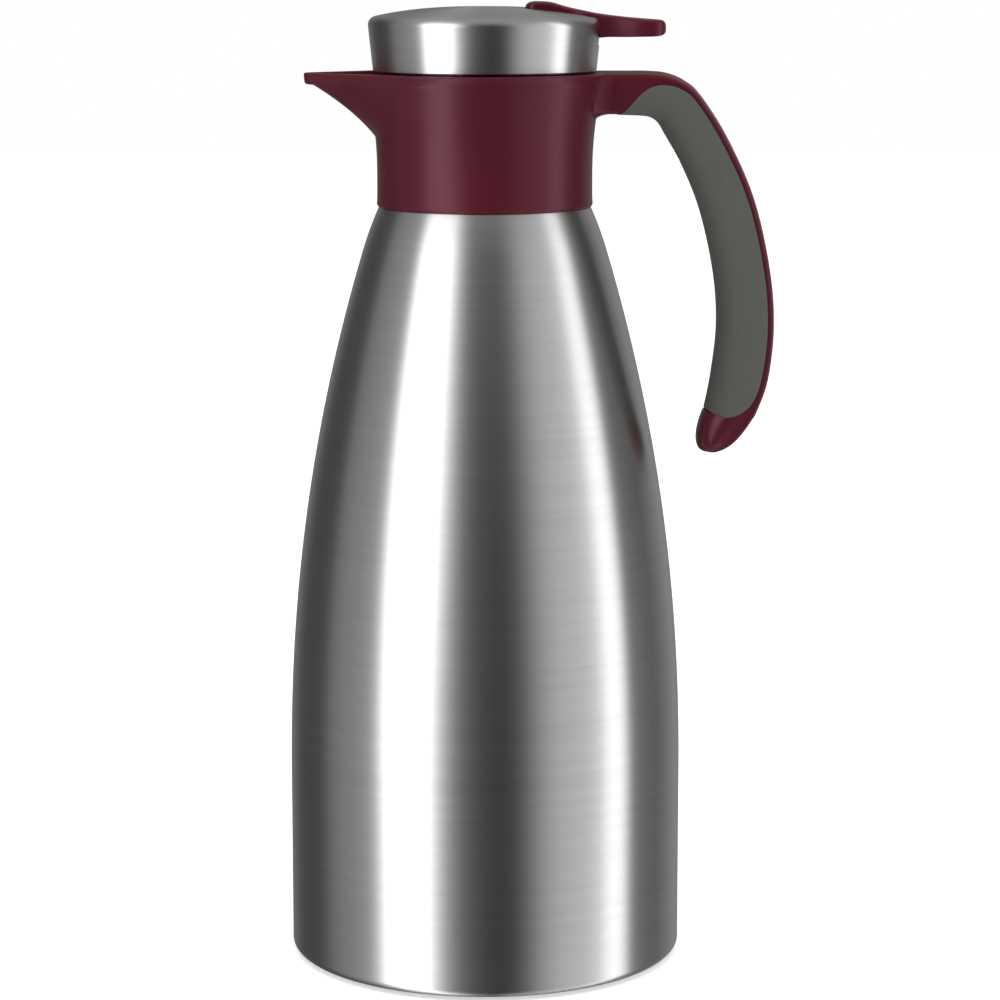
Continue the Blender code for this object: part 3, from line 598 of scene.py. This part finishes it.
def quarter(radius, steps, rising):
    """(inset, rise) pairs round a quarter circle of an edge, from the wall or back to it."""
    turns = levels(0.0, math.pi / 2, steps + 1)
    pairs = [(radius * (1 - math.cos(a)), radius * math.sin(a)) for a in turns]
    return pairs if rising else pairs[::-1]


def collar_rows():
    """(z, circle radius, spout reach, tip radius) up the outside and then down the inside."""
    rim, low = collar_high.z, collar_low.z
    reach = -collar_low.x
    foot = collar_radius(low + 1.0) + SKIRT_SWELL
    rows = [(low + SKIRT_EDGE_R - rise, foot - inset, 0, SPOUT_TIP_R)
            for inset, rise in quarter(SKIRT_EDGE_R, 5, False)]
    rows += [(z, collar_radius(z) + SKIRT_SWELL * (1 - ease((z - low) / 4.0)), 0, SPOUT_TIP_R)
             for z in levels(low + 1.5, SPOUT_START_Z - 0.2, 14)]
    rows += [(z, collar_radius(z), spout_reach(z), SPOUT_TIP_R)
             for z in levels(SPOUT_START_Z, SPOUT_TIP_Z - 0.1, 26)]
    under = SPOUT_TIP_Z
    rows += [(under + 0.02, collar_radius(under), reach - 1.2, SPOUT_TIP_R - 0.3)]
    rows += [(under + 0.1 + rise, collar_radius(under), reach - 0.2 - SPOUT_EDGE_R + outset, SPOUT_TIP_R)
             for rise, outset in quarter(SPOUT_EDGE_R, 4, True)]
    rows += [(rim - RIM_EDGE_R + rise, collar_radius(rim) - inset, reach - inset, SPOUT_TIP_R - inset)
             for inset, rise in quarter(RIM_EDGE_R, 5, True)]
    rows += [(rim - BORE_EDGE_R + rise, BORE_R + inset, reach - 1.8 + inset, CHANNEL_TIP_R + inset)
             for inset, rise in quarter(BORE_EDGE_R, 4, False)]
    rows += [(z, BORE_R, spout_reach(z - CHANNEL_WALL), CHANNEL_TIP_R)
             for z in levels(rim - 0.9, LEDGE_Z + 0.3, 16)]
    rows += [(LEDGE_Z, BORE_R - 0.3, 0, 0), (LEDGE_Z, LEDGE_R + 0.3, 0, 0)]
    rows += [(LEDGE_Z - 0.3, LEDGE_R, 0, 0), (LEDGE_Z - LEDGE_THICK, LEDGE_R, 0, 0)]
    rows += [(LEDGE_Z - LEDGE_THICK, COLLAR_INNER_R, 0, 0), (low + 1.6, COLLAR_INNER_R, 0, 0)]
    rows += [(low + 1.1, SKIRT_INNER_R, 0, 0), (low, SKIRT_INNER_R, 0, 0)]
    return rows


def make_collar():
    """Neck moulding with the pouring spout and three lugs that hold the stopper down."""
    shares = [k / COLUMN_COUNT for k in range(COLUMN_COUNT + 1)]
    half = [180.0 * (EVEN_SHARE * t + (1 - EVEN_SHARE) * t**COLUMN_POWER) for t in shares]
    angles = half + [360.0 - a for a in reversed(half[1:-1])]
    rows = collar_rows()
    columns = []
    for degrees in angles:
        from_spout = math.radians(min(degrees, 360.0 - degrees))
        azimuth = math.radians(180.0 + degrees)
        column = []
        for z, circle, reach, tip in rows:
            if reach and circle > BORE_R + 1.0:
                on_side = ease((from_spout - TIP_FADE[0]) / (TIP_FADE[1] - TIP_FADE[0]))
                reach += (side_reach(z, reach) - reach) * on_side
            r = beak_radius(from_spout, circle, reach, tip)
            column.append((r * math.cos(azimuth), r * math.sin(azimuth), z))
        columns.append(column)
    collar = lofted("collar_moulding", columns, closed=True)
    lugs = [sector("collar_lug", plug_high.y + 0.3, BORE_R + 0.9, *COLLAR_LUG_Z, a, LUG_SPAN_DEG)
            for a in LUG_ANGLES]
    combine(collar, lugs, "UNION")
    install(collar, "jug", ["collar"], MAROON)


make_collar()


# ---------------------------------------------------------------- handle

# Stations from the collar to the tip: outer x, z, inner x, z, half width, how square the section is,
# and the width of its back as a share of its widest.
HANDLE = (
    (34.0, 271.3, 32.7, 255.6, 12.0, 7.0, 0.97),
    (35.2, 271.3, 33.2, 256.4, 11.1, 7.0, 0.97),
    (36.2, 271.3, 33.8, 257.2, 10.2, 7.0, 0.97),
    (37.2, 271.3, 34.6, 257.8, 9.5, 7.0, 0.97),
    (38.2, 271.3, 35.6, 258.2, 9.05, 7.0, 0.97),
    (39.2, 271.3, 36.9, 258.4, 8.8, 7.0, 0.97),
    (40.4, 271.3, 38.8, 258.45, 8.75, 7.0, 0.97),
    (43.6, 271.3, 42.6, 258.3, 9.0, 6.0, 0.97),
    (48.8, 271.25, 46.6, 258.1, 9.5, 4.4, 0.94),
    (54.4, 270.7, 49.6, 257.6, 10.2, 3.2, 0.9),
    (59.8, 268.5, 52.0, 256.0, 10.8, 2.7, 0.87),
    (64.9, 264.0, 54.0, 252.8, 11.3, 2.5, 0.85),
    (73.2, 251.1, 59.4, 243.2, 11.9, 2.4, 0.84),
    (81.3, 233.1, 65.0, 229.4, 12.2, 2.4, 0.84),
    (86.3, 212.0, 69.2, 211.0, 12.1, 2.4, 0.84),
    (87.8, 194.5, 70.4, 195.0, 11.7, 2.4, 0.84),
    (86.3, 178.6, 68.9, 180.2, 11.1, 2.3, 0.84),
    (83.2, 169.0, 67.0, 170.0, 10.4, 2.4, 0.84),
    (81.6, 166.0, 66.2, 168.0, 10.1, 2.7, 0.84),
    (79.4, 162.6, 65.3, 165.2, 9.5, 3.0, 0.84),
    (76.6, 159.2, 64.6, 162.0, 8.7, 3.1, 0.83),
    (73.8, 157.0, 64.5, 159.4, 7.5, 3.0, 0.82),
    (71.2, 155.8, 64.9, 157.5, 5.8, 2.7, 0.8),
    (69.6, 155.5, 65.6, 156.5, 3.9, 2.2, 0.8),
    (68.6, 155.5, 66.4, 156.0, 2.0, 2.2, 0.8),
)
# Where the soft grip runs: place along the stations, its edge's depth below the back, and its bow.
GRIP_RUN = (
    (6.3, 12.55, 0.0), (6.6, 12.2, 0.0), (7.0, 10.8, 0.0), (7.4, 8.7, 0.0), (7.8, 6.5, 0.0),
    (8.2, 4.9, 0.0), (8.6, 4.0, 0.0), (9.0, 3.4, 0.0), (10.0, 2.5, 0.0), (11.0, 2.2, 0.0),
    (12.0, 2.2, 0.0), (13.0, 2.2, 0.0), (14.0, 2.2, 0.0), (15.0, 2.3, 0.0), (16.0, 2.5, 0.0),
    (16.5, 2.75, 0.0), (16.8, 3.4, 0.05), (16.98, 4.6, 0.35), (17.03, 6.4, 1.2), (17.06, 8.4, 1.8),
    (17.09, 10.4, 2.2),
)
STEPS_A_STATION = 6
ROOT_WRAP_TO_X = 38.5           # nearer than this the arm's root bends round the collar
ROOT_WRAP_OVER = 3.0
SPINE_CROWN = 1.3               # how far the back bulges, and its limit as a share of the depth
SPINE_CROWN_SHARE = 0.25
SPINE_EDGE_R = 0.9              # rounding of the back's edge, and its limit as a share of the width
SPINE_EDGE_SHARE = 0.3
WIDEST_AT = 0.55                # share of the depth at which a section is at its widest
GRIP_PROUD = 0.12               # how far the grip stands out beside the moulding
GRIP_GAP = 0.1                  # groove between the grip and the moulding, and its bevel
GROOVE_BEVEL = 0.3
GROOVE_ROUND = 0.09
POCKET_LEAD = 0.05              # how far the hollow starts before the grip, in stations
CORE_COVER = 3.2                # thickness of the grip round the core
CORE_INSET = 5.2
THIN_FROM = 10.0                # half width of the handle below which its core is thicker
THIN_SHARE = 0.6
POCKET_MARGIN = 3.0             # how far the cutter of the grip's hollow reaches past the moulding


def station_at(place):
    """The handle's section numbers at a place between two stations."""
    i = min(int(place), len(HANDLE) - 2)
    return between(HANDLE, i, place - i)


def full_depth(station):
    """Distance from a section's outer edge to its inner one."""
    return (Vector(station[0:2]) - Vector(station[2:4])).length


def station_point(station, depth, y, bow=0.0):
    """A point at a depth below the outer edge and a sideways distance, on one station."""
    outer, inner = Vector(station[0:2]), Vector(station[2:4])
    inward = (inner - outer).normalized()
    onward = Vector((-inward.y, inward.x))
    if onward.y > 0:
        onward = -onward
    share = min(1.0, max(0.0, depth / (inner - outer).length))
    spot = outer + inward * depth + onward * bow * 4.0 * share * (1.0 - share)
    return (spot.x, y, spot.y)


def mirrored(half):
    """A closed (depth, y) loop from its half with y above zero, ends on the middle line."""
    return half + [(depth, -y) for depth, y in reversed(half[1:-1])]


def side_curve(station, proud=0.0, top=None, count=26):
    """(depth, y) down one side of a section from the back's edge, or from a depth, to the inside."""
    width, power, back = station[4:7]
    full = full_depth(station) + proud
    edge = min(SPINE_EDGE_R, SPINE_EDGE_SHARE * width)
    start = min(SPINE_CROWN, SPINE_CROWN_SHARE * full) * back**2 + edge
    first = 0.0
    if top is not None:
        first = math.asin(max(0.0, min(1.0, (top - start) / (full - start))) ** (power / 2))
    points = []
    for a in levels(first, math.pi / 2, count):
        u, fall = math.sin(a) ** (2 / power), max(0.0, math.cos(a)) ** (2 / power)
        reach = width * (back + (1 - back) * ease(u / WIDEST_AT)) + proud
        points.append((start + (full - start) * u, reach * fall))
    points[-1] = (full, 0.0)
    return points


def handle_section(station):
    """Whole section: crowned back, rounded edges and sides that turn in to the inside."""
    width, _, back = station[4:7]
    edge = min(SPINE_EDGE_R, SPINE_EDGE_SHARE * width)
    crown = min(SPINE_CROWN, SPINE_CROWN_SHARE * full_depth(station))
    flat = width * back - edge
    half = [(crown * (y / width) ** 2, y) for y in levels(0.0, flat, 9)]
    start = crown * back**2
    low = half[-1][0]
    half += [(low + (start + edge - low) * (1 - math.cos(a)), flat + edge * math.sin(a))
             for a in levels(0.0, math.pi / 2, 6)[1:-1]]
    half += side_curve(station)
    wrap = max(0.0, min(1.0, (ROOT_WRAP_TO_X - station[0]) / ROOT_WRAP_OVER)) / (2 * COLLAR_R)
    loop = [station_point(station, depth, y) for depth, y in mirrored(half)]
    return [(x - wrap * y**2, y, z) for x, y, z in loop]


def core_size(station, side):
    """Half width and depth of the core that the grip wraps."""
    core = station[4] - CORE_INSET + THIN_SHARE * max(0.0, THIN_FROM - station[4])
    return core, max(side + 0.05, full_depth(station) - CORE_COVER)


def grip_pocket(station, side, bow):
    """Section of the cutter that leaves only the core under the grip."""
    core, deep = core_size(station, side)
    wide, far = station[4] + POCKET_MARGIN, full_depth(station) + POCKET_MARGIN
    loop = [(side, core), (side, wide), (far, wide), (far, -wide), (side, -wide), (side, -core),
            (deep, -core), (deep, core)]
    return [station_point(station, depth, y, bow) for depth, y in loop]


def grip_section(station, side, bow):
    """Soft channel round the core, a hair proud of the maroon moulding beside it."""
    core, deep = core_size(station, side)
    top = side + GRIP_GAP
    outside = side_curve(station, GRIP_PROUD, top + GROOVE_BEVEL)
    rim = outside[0][1]
    half = [(deep + 0.04, core - 0.02), (top, core + 0.02)]
    half += [(top, max(rim - GROOVE_BEVEL, core + 0.1))]
    half += [(top + GROOVE_ROUND, max(rim - GROOVE_ROUND, core + 0.15))]
    half += [(max(depth, top + 0.1), y) for depth, y in outside[:-1]]
    loop = half + [outside[-1]] + [(depth, -y) for depth, y in reversed(half)]
    return [station_point(station, depth, y, bow) for depth, y in loop]


def make_handle():
    """Arm, spine and tip in one maroon moulding, and the soft grip in the hollow of the handle."""
    places = levels(0.0, len(HANDLE) - 1.0, STEPS_A_STATION * (len(HANDLE) - 1) + 1)
    frame_piece = lofted("handle_moulding", [handle_section(station_at(t)) for t in places])
    run = [(station_at(t), side, bow) for t, side, bow in smooth(GRIP_RUN, 7)]
    start = (station_at(GRIP_RUN[0][0] - POCKET_LEAD), *GRIP_RUN[0][1:])
    pocket = lofted("grip_pocket", [grip_pocket(*row) for row in [start] + run[1:]])
    combine(frame_piece, [pocket], "DIFFERENCE")
    grip = lofted("handle_soft_grip", [grip_section(*row) for row in run])
    install(frame_piece, "jug", ["handle_frame"], MAROON)
    install(grip, "jug", ["handle_grip"], GRIP)


make_handle()


# ---------------------------------------------------------------- lid

COVER_WALL = 0.6
CROWN_Z = cover_high.z
CROWN_DROP = 3.0
CROWN_POWER = 2.6
COVER_FOOT_R = 33.6
CROWN_EDGE_R = 32.6             # the crown meets the rounding of the rim here
RIM_Z = 286.9
RIM_ARC_R = 2.6
RECESS_X = 36.7                 # middle of the round, shallow step in the crown by the lever
RECESS_R = 26.7
RECESS_DEPTH = 0.25
RECESS_SLOPE = 1.8              # length of the step's slope
RECESS_LOW_Z = 285.0            # the cap's side, below this, keeps its shape
RECESS_FADE_R = 34.9            # the step fades out towards the rim
RECESS_FADE = 2.6
SLOT_MARGIN = 0.7               # gap between the lever and the sides of its slot
SLOT_Z = (278.8, 300.0)
SLOT_FRONT_X = 11.3
SLOT_WAIST_X = (28.8, 31.6)     # where the slot narrows
SLOT_OPEN_X = 45.0
WAIST_SHARE = 0.33              # how much narrower the lever is where it crosses the rim

# Down the length of the lever: x, top, bottom.
LEVER = (
    (12.0, 288.4, 285.4), (12.15, 290.2, 283.6), (12.8, 291.3, 281.9), (14.2, 291.85, 280.3),
    (16.5, 291.95, 279.1), (20.0, 291.65, 278.3), (24.0, 290.5, 277.9), (28.0, 289.55, 278.3),
    (31.0, 288.95, 279.8), (33.2, 288.5, 280.9), (36.5, 288.0, 281.35), (42.0, 287.35, 281.4),
    (47.0, 286.9, 281.5), (51.0, 286.6, 281.6), (52.9, 286.4, 281.9), (53.7, 286.05, 282.3),
    (54.1, 285.4, 282.8), (54.2, 284.6, 283.4),
)
# How the lever's ends narrow: from where, over what length (below zero is forward), by what share
# of the width, and with what power.
FRONT_ROUND = (15.2, -3.2, 0.34, 2.4)
REAR_ROUND = (49.4, 4.8, 0.5, 3.0)
WAIST_IN = (25.5, 5.2)          # where the lever narrows, and over what length
WAIST_OUT = (36.5, 12.0)
HOLLOW_WALL = 2.6
HOLLOW = ((44.0, 270.0), (51.0, 270.0), (51.0, 284.4, 1.0), (44.0, 284.9, 1.0))
NOSE_R = 3.0                    # rounded tips of the fork that lifts the valve's stem
NOSE_Z = 277.9
TINE = ((20.0, 278.6), (20.0, 282.0), (9.0, 280.0))
TINE_Y = (2.7, 5.6)


def crown_z(r):
    """Height of the lid's crown at a distance from the axis."""
    return CROWN_Z - CROWN_DROP * (r / COVER_FOOT_R) ** CROWN_POWER


def arc_points(count):
    """(sine, cosine) pairs round a quarter turn."""
    return [(math.sin(a), math.cos(a)) for a in levels(0.0, math.pi / 2, count)]


def make_cover():
    """Steel cap: flared side, tight edge, low crown with a thumb hollow round the lever's slot."""
    line = [(r, crown_z(r)) for r in levels(0.0, CROWN_EDGE_R, 66)]
    line += rounded([
        (CROWN_EDGE_R, crown_z(CROWN_EDGE_R)), (cover_high.x + 0.3, RIM_Z, RIM_ARC_R),
        (COVER_FOOT_R, cover_low.z + 0.1)], 14)[1:]
    cap = revolved("steel_cap", thickened(line, COVER_WALL))
    for vertex in cap.data.vertices:
        spot = vertex.co / MM
        if spot.z < RECESS_LOW_Z:
            continue
        inside = RECESS_R - math.hypot(spot.x - RECESS_X, spot.y)
        edge_fade = ease((RECESS_FADE_R - math.hypot(spot.x, spot.y)) / RECESS_FADE)
        vertex.co.z -= RECESS_DEPTH * ease(inside / RECESS_SLOPE) * edge_fade * MM
    width = lever_half_width + SLOT_MARGIN
    waist = lever_half_width * (1 - WAIST_SHARE) + SLOT_MARGIN
    wide_x, narrow_x = SLOT_WAIST_X
    outline = rounded([
        (SLOT_FRONT_X, -width, 1.8), (wide_x, -width, 1.6), (narrow_x, -waist, 1.6),
        (SLOT_OPEN_X, -waist), (SLOT_OPEN_X, waist),
        (narrow_x, waist, 1.6), (wide_x, width, 1.6), (SLOT_FRONT_X, width, 1.8)])
    slot = lofted("cap_slot", [[(x, y, z) for x, y in outline] for z in SLOT_Z])
    combine(cap, [slot], "DIFFERENCE")
    install(cap, "lid", ["lid_cover"], STEEL)


def lever_width(x):
    """Half width of the lever: rounded at both ends and narrower where it crosses the lid's rim."""
    width = lever_half_width
    for start, length, loss, power in (FRONT_ROUND, REAR_ROUND):
        width *= 1 - loss * min(1.0, max(0.0, (x - start) / length)) ** power
    waist = ease((x - WAIST_IN[0]) / WAIST_IN[1]) - ease((x - WAIST_OUT[0]) / WAIST_OUT[1])
    return width * (1 - WAIST_SHARE * waist)


def lever_section(x, top, bottom):
    """Loop round the lever at one place: crowned top, rounded edges, flat underside."""
    width, height = lever_width(x), top - bottom
    edge, low_edge = min(1.0, 0.4 * height), min(0.5, 0.2 * height)
    crown = 0.3 * min(1.0, height / 4.0)
    half = [(y, top - crown * (y / width) ** 2) for y in levels(0.0, width - edge, 8)]
    high = half[-1][1]
    half += [(width - edge + edge * sine, high - edge + edge * cosine)
             for sine, cosine in arc_points(7)[1:]]
    half += [(width - low_edge + low_edge * cosine, bottom + low_edge - low_edge * sine)
             for sine, cosine in arc_points(4)]
    half += [(0.0, bottom)]
    return [(x, y, z) for y, z in half + [(-y, z) for y, z in reversed(half[1:-1])]]


def make_lever():
    """Thumb lever: raised front, long thumb plate, hollow below, and a fork inside the lid."""
    lever = lofted("lever_plate", [lever_section(*row) for row in smooth(LEVER, 5)])
    reach = lever_half_width - HOLLOW_WALL
    combine(lever, [slab("lever_pocket", rounded(HOLLOW), -reach, reach)], "DIFFERENCE")
    arc = [math.radians(a) for a in range(100, 261, 10)]
    nose = [(NOSE_R * math.cos(a), NOSE_Z + NOSE_R * math.sin(a)) for a in arc]
    near, far = TINE_Y
    tines = [slab("lever_tine", nose + list(TINE), *span) for span in ((near, far), (-far, -near))]
    combine(lever, tines, "UNION")
    install(lever, "lever", ["thumb_lever"], MAROON)


make_cover()
make_lever()


# ---------------------------------------------------------------- stopper

PLUG_R = 25.4
PLUG_WALL = 1.8
SEAT_R = 7.5
GROOVE_R = 24.3                 # bottom of the gasket's groove
GASKET_R = (24.6, 25.5)
PLUG_LUG_Z = (263.6, 266.2)
WINDOW_R = (20.0, 29.0)
WINDOW_Z = (260.6, 265.4)
WINDOW_ANGLES = (150.0, 180.0, 210.0)
WINDOW_SPAN_DEG = 22.0
SPRING_R = 5.6
SPRING_WIRE_R = 0.45
SPRING_TURNS = 6
SPRING_END_GAP = 0.15           # between a flat end turn and the next one
STEPS_A_TURN = 24


def make_plug():
    """Lower cup of the stopper with its windows, lugs, gasket groove and valve seat."""
    outer, low, high = PLUG_R, plug_low.z, plug_high.z
    inner = outer - PLUG_WALL
    plug = revolved("plug_cup", rounded([
        (inner, high, 0.3), (outer, high, 0.3), (outer, 254.0, 0.2), (GROOVE_R, 253.8), (GROOVE_R, 249.7),
        (outer, 249.5, 0.2), (outer, low, 1.4), (inner - 1.0, low, 0.4), (inner - 1.8, low + 1.0),
        (SEAT_R, low + 1.0, 0.4), (SEAT_R, low + 3.0, 0.3), (inner - 0.6, low + 3.0, 0.8),
        (inner - 0.6, 255.4), (inner, 256.4)], 4))
    lugs = [sector("plug_lug", outer - 0.8, plug_high.y, *PLUG_LUG_Z, a, LUG_SPAN_DEG)
            for a in LUG_ANGLES]
    windows = [sector("plug_window", *WINDOW_R, *WINDOW_Z, a, WINDOW_SPAN_DEG) for a in WINDOW_ANGLES]
    combine(plug, lugs, "UNION")
    combine(plug, windows, "DIFFERENCE")
    install(plug, "lid", ["stopper_plug"], DARK)


def make_gasket():
    """Silicone ring with two lips."""
    low, high, lip = gasket_low.z, gasket_high.z, gasket_high.x
    inner, outer = GASKET_R
    ring = revolved("gasket_ring", rounded([
        (inner, high), (outer, high, 0.2), (lip, high - 0.6, 0.25), (outer + 0.1, (low + high) / 2, 0.3),
        (lip, low + 0.9, 0.25), (outer, low, 0.2), (inner, low)], 4))
    install(ring, "lid_seal", ["stopper_gasket"], SILICONE)


def make_spring():
    """Compression spring with a flat turn at each end."""
    low, high = spring_low.z + SPRING_WIRE_R, spring_high.z - SPRING_WIRE_R
    flat_rise = 2 * SPRING_WIRE_R + SPRING_END_GAP
    curve = bpy.data.curves.new("return_spring", "CURVE")
    curve.dimensions = "3D"
    curve.bevel_depth = SPRING_WIRE_R * MM
    curve.bevel_resolution = 3
    curve.use_fill_caps = True
    line = curve.splines.new("POLY")
    line.points.add(STEPS_A_TURN * (SPRING_TURNS + 2))
    for i, point in enumerate(line.points):
        turn = i / STEPS_A_TURN
        climb = flat_rise * min(turn, 1.0) + flat_rise * max(turn - SPRING_TURNS - 1, 0.0)
        middle = min(max(turn - 1.0, 0.0), SPRING_TURNS) / SPRING_TURNS
        z = low + climb + (high - low - 2 * flat_rise) * middle
        x, y = SPRING_R * math.cos(turn * math.tau), SPRING_R * math.sin(turn * math.tau)
        point.co = (x * MM, y * MM, z * MM, 1.0)
    shape = bpy.data.objects.new("return_spring_line", curve)
    bpy.context.scene.collection.objects.link(shape)
    mesh = evaluated_mesh(shape)
    bpy.data.objects.remove(shape)
    mesh.shade_smooth()
    spring = bpy.data.objects.new("return_spring", mesh)
    bpy.context.scene.collection.objects.link(spring)
    install(spring, "lid", ["valve_spring"], BRIGHT)
    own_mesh(spring)


make_plug()
make_gasket()
make_spring()


# ---------------------------------------------------------------- CAD pieces that stay

def finish_cad_nodes():
    """Gives every CAD node its slot's detailed material."""
    slots = {part["node"]: part["material_slot"] for part in frame["record"]["subparts"]}
    for name, node in frame["nodes"].items():
        node.data.materials.clear()
        node.data.materials.append(SLOT_MATERIALS[slots[name]])


finish_cad_nodes()


# ---------------------------------------------------------------- studio

# Light round the jug as (degrees from the camera's side, radiance); positive is to the right.
# Shiny surfaces reflect the panels, and matt ones are lit by the fill.
PANELS = (
    (-180, 0.22), (-160, 0.2), (-150, 0.13), (-140, 0.08), (-120, 0.075), (-110, 0.1), (-104, 0.25),
    (-91, 0.31), (-76, 0.38), (-67, 0.48), (-61, 2.9), (-30, 2.9), (-25, 1.35), (-18, 0.45),
    (-11, 0.15), (-4, 0.07), (5, 0.035), (13, 0.035), (19, 0.07), (25, 0.18), (31, 0.36), (38, 0.52),
    (45, 0.64), (59, 0.74), (70, 0.85), (79, 2.0), (88, 2.0), (94, 0.22), (120, 0.12), (150, 0.3),
    (160, 0.26), (180, 0.22),
)
FILL = (
    (-180, 0.35), (-120, 0.3), (-60, 0.6), (-20, 0.4), (0, 0.3), (45, 0.45), (90, 1.25), (120, 1.4),
    (180, 0.35),
)
CEILING = 0.4                   # radiance overhead, for shiny surfaces and for matt ones
FILL_CEILING = 1.0
CEILING_BAND = (0.35, 0.85)     # heights between which the ring gives way to the ceiling
PANEL_LEAN = 0.1                # how far the panels lean over, in radians for each unit of height
EDGE_TURN = -0.47               # where the left softbox's inner edge is, and how it draws in low down
EDGE_REACH = 0.5
EDGE_SHIFT = 0.24
EDGE_BAND = (-0.3, 0.1)
FLOOR_HALF_SIZE = 4.0
FLOOR_DROP = 0.0002
FLOOR_GREY = 0.8
FLOOR_GLOW = 0.45
TOP_LIGHT_PLACE = (-0.1, -0.1, 1.3)
TOP_LIGHT_SIZE = 0.9
TOP_LIGHT_WATTS = 8.0


def make_world():
    """A ring of panels that shiny surfaces reflect, softer fill for matt ones, and white paper behind."""
    world = bpy.data.worlds.new("studio")
    world.use_nodes = True
    bpy.context.scene.world = world
    nodes, links = world.node_tree.nodes, world.node_tree.links

    def maths(operation, first, second=0.0):
        node = nodes.new("ShaderNodeMath")
        node.operation = operation
        for socket, value in zip(node.inputs, (first, second)):
            if isinstance(value, float):
                socket.default_value = value
            else:
                links.new(value, socket)
        return node.outputs[0]

    def span(value, source, result, interpolation="LINEAR"):
        node = nodes.new("ShaderNodeMapRange")
        node.interpolation_type = interpolation
        for socket, number in zip(node.inputs[1:5], (*source, *result)):
            socket.default_value = number
        links.new(value, node.inputs["Value"])
        return node.outputs[0]

    def ring(angle, stops, roof):
        """A background whose light depends on the direction round the jug, closed by a ceiling."""
        wheel = nodes.new("ShaderNodeValToRGB")
        links.new(span(angle, (-math.pi, math.pi), (0.0, 1.0)), wheel.inputs["Fac"])
        top = max(value for _, value in stops)
        elements = wheel.color_ramp.elements
        while len(elements) < len(stops):
            elements.new(0.5)
        for element, (degrees, value) in zip(elements, stops):
            element.position = (degrees + 180.0) / 360.0
            element.color = (*grey(value / top), 1.0)
        cover = nodes.new("ShaderNodeMix")
        cover.data_type = "RGBA"
        cover.inputs[MIX_B].default_value = (*grey(roof / top), 1.0)
        height = span(split.outputs["Z"], CEILING_BAND, (0.0, 1.0), "SMOOTHSTEP")
        links.new(height, cover.inputs["Factor"])
        links.new(wheel.outputs["Color"], cover.inputs[MIX_A])
        light = nodes.new("ShaderNodeBackground")
        light.inputs["Strength"].default_value = top
        links.new(cover.outputs[MIX_RESULT], light.inputs["Color"])
        return light.outputs[0]

    def choose(factor, first, second):
        node = nodes.new("ShaderNodeMixShader")
        for socket, value in zip(node.inputs, (factor, first, second)):
            links.new(value, socket)
        return node.outputs[0]

    place = nodes.new("ShaderNodeTexCoord")
    split = nodes.new("ShaderNodeSeparateXYZ")
    links.new(place.outputs["Generated"], split.inputs[0])
    turn = maths("ARCTAN2", split.outputs["X"], maths("MULTIPLY", split.outputs["Y"], -1.0))
    lean = maths("ADD", turn, maths("MULTIPLY", split.outputs["Z"], PANEL_LEAN))
    from_edge = maths("ABSOLUTE", maths("SUBTRACT", turn, EDGE_TURN))
    near = span(from_edge, (0.0, EDGE_REACH), (EDGE_SHIFT, 0.0))
    low = span(split.outputs["Z"], EDGE_BAND, (1.0, 0.0))
    lean = maths("ADD", lean, maths("MULTIPLY", near, low))
    lean = maths("WRAP", lean, math.pi)
    lean.node.inputs[2].default_value = -math.pi
    paper = nodes.new("ShaderNodeBackground")
    paper.inputs["Color"].default_value = (1.0, 1.0, 1.0, 1.0)
    ray = nodes.new("ShaderNodeLightPath")
    matt, shiny = ring(turn, FILL, FILL_CEILING), ring(lean, PANELS, CEILING)
    lit = choose(ray.outputs["Is Glossy Ray"], matt, shiny)
    seen = choose(ray.outputs["Is Camera Ray"], lit, paper.outputs[0])
    links.new(seen, nodes["World Output"].inputs["Surface"])


def make_floor():
    """Pale table that glows a little, so that it runs into the white behind it."""
    mesh = bpy.data.meshes.new("floor")
    body = bmesh.new()
    bmesh.ops.create_grid(body, x_segments=1, y_segments=1, size=FLOOR_HALF_SIZE)
    body.to_mesh(mesh)
    body.free()
    floor = bpy.data.objects.new("floor", mesh)
    floor.location.z = -FLOOR_DROP
    bpy.context.scene.collection.objects.link(floor)
    material, shader = new_material("floor_paper", 0.9)
    shader.inputs["Base Color"].default_value = (*grey(FLOOR_GREY), 1.0)
    shader.inputs["Specular IOR Level"].default_value = 0.0
    shader.inputs["Emission Color"].default_value = (1.0, 1.0, 1.0, 1.0)
    shader.inputs["Emission Strength"].default_value = FLOOR_GLOW
    mesh.materials.append(material)
    floor.visible_glossy = False


def make_top_light():
    """A soft square panel overhead that lights matt surfaces and stays out of reflections."""
    data = bpy.data.lights.new("top_panel", "AREA")
    data.size = TOP_LIGHT_SIZE
    data.energy = TOP_LIGHT_WATTS
    panel = bpy.data.objects.new("top_panel", data)
    panel.location = TOP_LIGHT_PLACE
    panel.rotation_euler = (-Vector(TOP_LIGHT_PLACE)).to_track_quat("-Z", "Y").to_euler()
    panel.visible_camera = False
    panel.visible_glossy = False
    bpy.context.scene.collection.objects.link(panel)


make_world()
make_floor()
make_top_light()
bpy.context.scene.view_settings.view_transform = "Standard"
